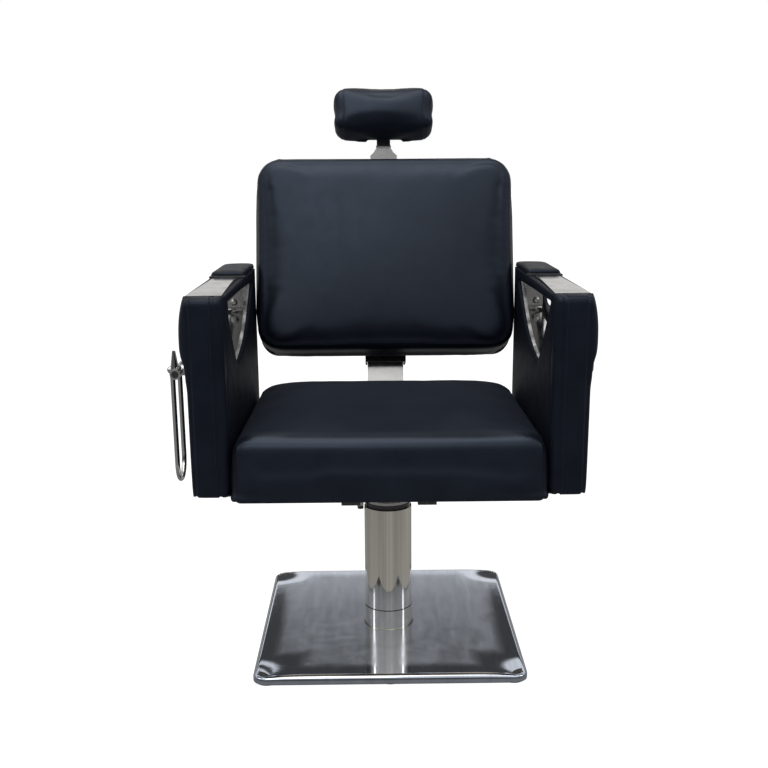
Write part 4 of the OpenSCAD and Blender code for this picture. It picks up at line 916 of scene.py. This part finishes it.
seat_seam = seat_high.x - SEAT_SEAM_IN
sew("seat_stitches", seat_pad.piece, "seat", [(ACROSS, seat_seam, -1), (ACROSS, -seat_seam, 1)],
    lambda p: (p[:, 2] > seat_low.z + SEAT_HIDDEN) & (p[:, 1] < seat_high.y - SEAT_HIDDEN))
sew("back_stitches", back_pad.piece, "back", [((0, 1, 0), BACK_SEAM, 1)], frame=to_back)
rest_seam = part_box("headrest_pad")[1].x - REST_SEAM_IN
sew("headrest_stitches", rest_pad.piece, "rest_tilt",
    [(ACROSS, rest_seam, -1), (ACROSS, -rest_seam, 1)],
    lambda p: to_back(p)[:, 1] < REST_HIDDEN, depth=REST_GROOVE)
for pad, (_, side) in zip(arm_pads, SIDES):
    sew(pad.node.replace("pad", "stitches"), pad.piece, "seat",
        [(ACROSS, side * ARM_SEAMS[0], side), (ACROSS, side * ARM_SEAMS[1], -side)],
        lambda p: p[:, 1] < ARM_HIDDEN)


# Arm panels with their leaf-shaped opening

LEAF_ROLL, EDGE_ROLL, PANEL_CROWN = 0.006, 0.003, 0.001
RAYS = 220


def leaf_line(shares, cuts):
    """The opening in the side view: a polygon whose corners are each a quadratic curve between two
    cuts."""
    corner = np.array(shares) * (ARM_LEN, ARM_H) + (ARM_FRONT, ARM_FLOOR)
    cut = np.array(cuts)[:, None] * ARM_H
    before, after = np.roll(corner, 1, 0), np.roll(corner, -1, 0)
    start, end = (
        corner + cut * (other - corner) / np.linalg.norm(other - corner, axis=1, keepdims=True)
        for other in (before, after))
    t = np.linspace(0, 1, LEAF_STEPS + 1)[:, None, None]
    curve = (1 - t) ** 2 * start + 2 * t * (1 - t) * corner + t ** 2 * end
    return curve.transpose(1, 0, 2).reshape(-1, 2)


def reach(loop, middle, angles):
    """Distance from the middle to a closed outline in each direction, from where the ray cuts its
    sides."""
    a, b = loop - middle, np.roll(loop, -1, 0) - middle
    ray = np.stack([np.cos(angles), np.sin(angles)], 1)
    side = b - a
    cross = ray[:, None, 0] * side[None, :, 1] - ray[:, None, 1] * side[None, :, 0]
    cross = np.where(np.abs(cross) < 1e-12, 1e-12, cross)
    out = (a[None, :, 0] * side[None, :, 1] - a[None, :, 1] * side[None, :, 0]) / cross
    along = (a[None, :, 0] * ray[:, None, 1] - a[None, :, 1] * ray[:, None, 0]) / cross
    hit = (out > 0) & (along >= -1e-9) & (along <= 1 + 1e-9)
    return np.where(hit, out, np.inf).min(1)


def panel_profile(thick, leaf_roll, edge_roll, crown, steps=6, across=14):
    """The panel's section from the opening to its border and back: its distance from each edge, the
    share of the way across, and its depth below the face. Both edges are rolled by a quarter round
    and the face is crowned."""
    turn = np.linspace(0, math.pi / 2, steps)
    share = np.linspace(0, 1, across)
    out, over = 1 - np.cos(turn), 1 - np.sin(turn)
    ends = np.zeros(steps + 1)
    from_leaf = np.concatenate([[0], leaf_roll * out, np.full(across, leaf_roll), ends])
    from_edge = np.concatenate([ends, np.full(across, edge_roll), edge_roll * over, [0]])
    way = np.concatenate([ends, share, ends + 1])
    face = -crown * np.clip(4 * share * (1 - share), 0, 1) ** 0.5
    depth = np.concatenate([[thick], leaf_roll * over, face, edge_roll * out, [thick]])
    return from_leaf, from_edge, way, depth


def arm_panel(name, side, leaf, face_x, into, swell, finish):
    """A padded board round the leaf opening. Its rows run from the opening to the border along rays
    from the leaf's middle; face_x gives the face's distance from the chair's middle and into the
    way to its back."""
    low, high = (frame_y0, ARM_FLOOR - ARM_DROP), (frame_y1, frame_top)
    border = np.array([low, (high[0], low[1]), high, (low[0], high[1])])
    middle = leaf.mean(0)
    corners, leaf_angles = (np.arctan2(line[:, 1] - middle[1], line[:, 0] - middle[0])
                            for line in (border, leaf))
    even = np.linspace(-math.pi, math.pi, RAYS, False)
    angles = np.unique(np.round(np.concatenate([even, corners, leaf_angles]), 5))
    ray = np.stack([np.cos(angles), np.sin(angles)], 1)
    near, far = reach(leaf, middle, angles), reach(border, middle, angles)
    from_leaf, from_edge, way, depth = panel_profile(PANEL_T, LEAF_ROLL, EDGE_ROLL, PANEL_CROWN)
    way = way[:, None]
    radius = (near + from_leaf[:, None]) * (1 - way) + (far - from_edge[:, None]) * way
    flat = middle + radius[:, :, None] * ray
    risen = np.sin(math.pi / 2 * np.clip(way / SWELL_WAY, 0, 1))
    thick = np.clip(1 - depth[:, None] / PANEL_T, 0, 1) * risen
    x = face_x + into * depth[:, None] + swell(flat[:, :, 0], flat[:, :, 1]) * thick
    points = np.stack([side * x, flat[:, :, 0], flat[:, :, 1]], -1)
    mesh = grid_mesh(name, points, ends_meet=True)
    tidy_mesh(mesh)
    return link_piece(name, mesh, finish)


def outer_form(y, z):
    """How far the outer face stands out: the arm's swell, which dies away before the rear corner's
    quarter round."""
    past = np.clip(y - (ARM_REAR - REAR_R), 0, REAR_R)
    end = np.clip((ARM_REAR - REAR_R - y) / SWELL_END, 0, 1)
    return arm_swell(y, z) * end * end * (3 - 2 * end) - REAR_R + np.sqrt(REAR_R ** 2 - past ** 2)


inner_leaf = leaf_line(ARM_LEAF_SHARES, ARM_LEAF_CUTS)
outer_leaf = leaf_line(OUTER_LEAF_SHARES, OUTER_LEAF_CUTS)
for label, side in SIDES:
    inner = arm_panel(f"arm_inner_{label}_cover", side, inner_leaf, ARM_X, 1, lambda y, z: 0 * y,
                      QUIET_VINYL)
    fit(inner, "seat", "upholstery", f"arm_inner_{label}", fill=0.9)
    outer = arm_panel(f"arm_outer_{label}_cover", side, outer_leaf, ARM_OUT, -1, outer_form,
                      ARM_VINYL)
    fit(outer, "seat", "upholstery", f"arm_outer_{label}", fill=0.9)


# Steel lining of the arms' windows, from the floor sheet's front end up the slope and back under
# the top rail: where it begins in the side view, and how far before the frame's rear it ends

LINING_START = (-0.0740, 0.5708)
LINING_END = 0.034
CLOTH_LAP, CLOTH_LIFT = 0.001, 0.0006


def window_lining(name, side):
    """A strip of sheet across the arm's inside. Its path is the opening's own line at the front,
    its last and its first corner, then straight back; every point is repeated at both walls of
    the arm."""
    leaf = np.concatenate([inner_leaf[-LEAF_STEPS - 1:], inner_leaf[:LEAF_STEPS + 1]])
    path = np.concatenate([[LINING_START], leaf, [(frame_y1 - LINING_END, leaf[-1][1])]])
    walls = np.array([ARM_X + PANEL_T, ARM_OUT - PANEL_T]) * side
    grid = (len(path), 2)
    points = np.stack([np.broadcast_to(walls[None], grid),
                       *np.broadcast_to(path.T[:, :, None], (2, *grid))], -1)
    mesh = grid_mesh(name, points if side > 0 else points[:, ::-1])
    return thicken(link_piece(name, mesh, MIRROR), 0.0012, 0)


def top_cloth(name, side):
    """The vinyl that is folded over the arm's top, under the steel plate: a flat grid a little
    above the frame, which laps over both walls and under the rear pad."""
    x = np.linspace(ARM_X + PANEL_T - CLOTH_LAP, ARM_OUT - PANEL_T + CLOTH_LAP, 12) * side
    y = np.linspace(frame_y0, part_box("arm_rear_pads")[0].y + 2 * CLOTH_LAP, 60)
    u, v = np.meshgrid(x, y, indexing="ij")
    mesh = grid_mesh(name, np.stack([u, v, np.full_like(u, frame_top + CLOTH_LIFT)], -1)[::side])
    return thicken(link_piece(name, mesh, VINYL), 0.0005, -1)


MIRROR = chrome("mirror_sheet", 0.66, 0.09)
for label, side in SIDES:
    fit(window_lining(f"arm_lining_{label}", side), "seat", "polished_steel")
    fit(top_cloth(f"arm_top_cloth_{label}", side), "seat", "upholstery")


# Base cover

def rolled_sheet(name, low, high, corner_r, edge_r, dip, dip_reach, finish):
    """The pressed cover: a rectangular grid whose outer band is bent round the corners, rolled down
    at its edge and dished round each corner: the dip falls with the square of the distance from the
    corner. Past the edge the grid runs down the skirt."""
    middle, half = (low + high) / 2, (high - low) / 2
    band = corner_r * np.sin(np.linspace(0, math.pi / 2, 16))[1:]
    skirt = corner_r + np.linspace(0, high[2] - edge_r - low[2], 5)[1:]

    def line(half_side):
        """The grid's steps over one side: even inside, finer over the band, then the skirt."""
        out = np.concatenate([band, skirt]) + half_side - corner_r
        return np.concatenate([-out[::-1], np.linspace(-1, 1, 90) * (half_side - corner_r), out])

    u, v = np.meshgrid(line(half[0]), line(half[1]), indexing="ij")
    cu = np.clip(u, corner_r - half[0], half[0] - corner_r)
    cv = np.clip(v, corner_r - half[1], half[1] - corner_r)
    du, dv = u - cu, v - cv
    square = np.maximum(np.abs(du), np.abs(dv))
    ring = np.minimum(square, corner_r)
    share = ring / np.maximum(np.hypot(du, dv), 1e-9)
    x, y = cu + du * share, cv + dv * share
    near_edge = np.clip(edge_r - (corner_r - ring), 0, edge_r)
    from_corner = np.hypot(np.abs(x) - half[0], np.abs(y) - half[1])
    dish = dip * np.clip(1 - from_corner / dip_reach, 0, 1) ** 2 * (1 - near_edge / edge_r)
    roll = edge_r - np.sqrt(edge_r ** 2 - near_edge ** 2)
    z = high[2] - dish - roll - np.maximum(square - corner_r, 0)
    mesh = grid_mesh(name, np.stack([x + middle[0], y + middle[1], z], -1))
    return thicken(link_piece(name, mesh, finish), 0.0015, -1)


cover_low, cover_high = (np.array(corner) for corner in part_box("base_cover"))
base_cover = rolled_sheet("base_cover_sheet", cover_low, cover_high, corner_r=0.026, edge_r=0.008,
                          dip=0.007, dip_reach=0.090, finish=polished_sheet())
fit(base_cover, "base", "polished_steel", "base_cover")


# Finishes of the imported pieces

FINISHED = {
    column_chrome(): ["column_collar", "column_sleeve"],
    chrome(): ["piston_rod", "pump_pedal", "recline_lever", "lever_nut", "lever_bush"],
    brushed_steel("post_steel", (1, 1, 0.03), 0.11): ["headrest_post", "headrest_guide"],
    chrome("edging_steel", 0.95, 0.35): ["arm_edgings"],
    MIRROR: ["arm_rear_plates", "arm_top_plates"],
    # The spine's chrome is a brighter copy of the chrome: painted brightness, standing in for light
    # that the cushions keep from it
    chrome("spine_steel", 0.95, 0.15): ["back_spine"],
    zinc(): ["foot_bolts", "pedal_pin", "swivel_head", "seat_bolts", "hinge_pin", "arm_bolts",
             "lever_shaft", "release_rod", "cross_shaft", "lock_quadrant", "spine_bolts"],
    paint("frame_paint", 0.016, 0.5): [
        "base_plate", "pump_cylinder", "seat_rails", "arm_strap_front", "arm_strap_rear",
        "shaft_hanger", "tilt_bracket"],
    paint("black_paint", 0.02, 0.3): [
        "lug_bolt", "back_bracket", "arm_stripes", "arm_frame_left", "arm_frame_right",
        "headrest_board"],
    moulded_plastic("rubber", (0.02, 0.02, 0.02), 0.75): ["base_feet", "pedal_pad"],
    moulded_plastic("black_plastic", (0.022, 0.022, 0.024), 0.42): [
        "sleeve_ring", "lever_plugs", "back_shell", "post_collar", "clamp_knob"],
    moulded_plastic("bush_plastic", (0.7, 0.68, 0.62), 0.5): ["guide_bush"],
    plywood(): ["seat_board", "back_board"],
}
for finish, names in FINISHED.items():
    for name in names:
        finish_mesh(nodes[name].data, finish)

place_camera()
light_room()
light_chair()
lay_floor()
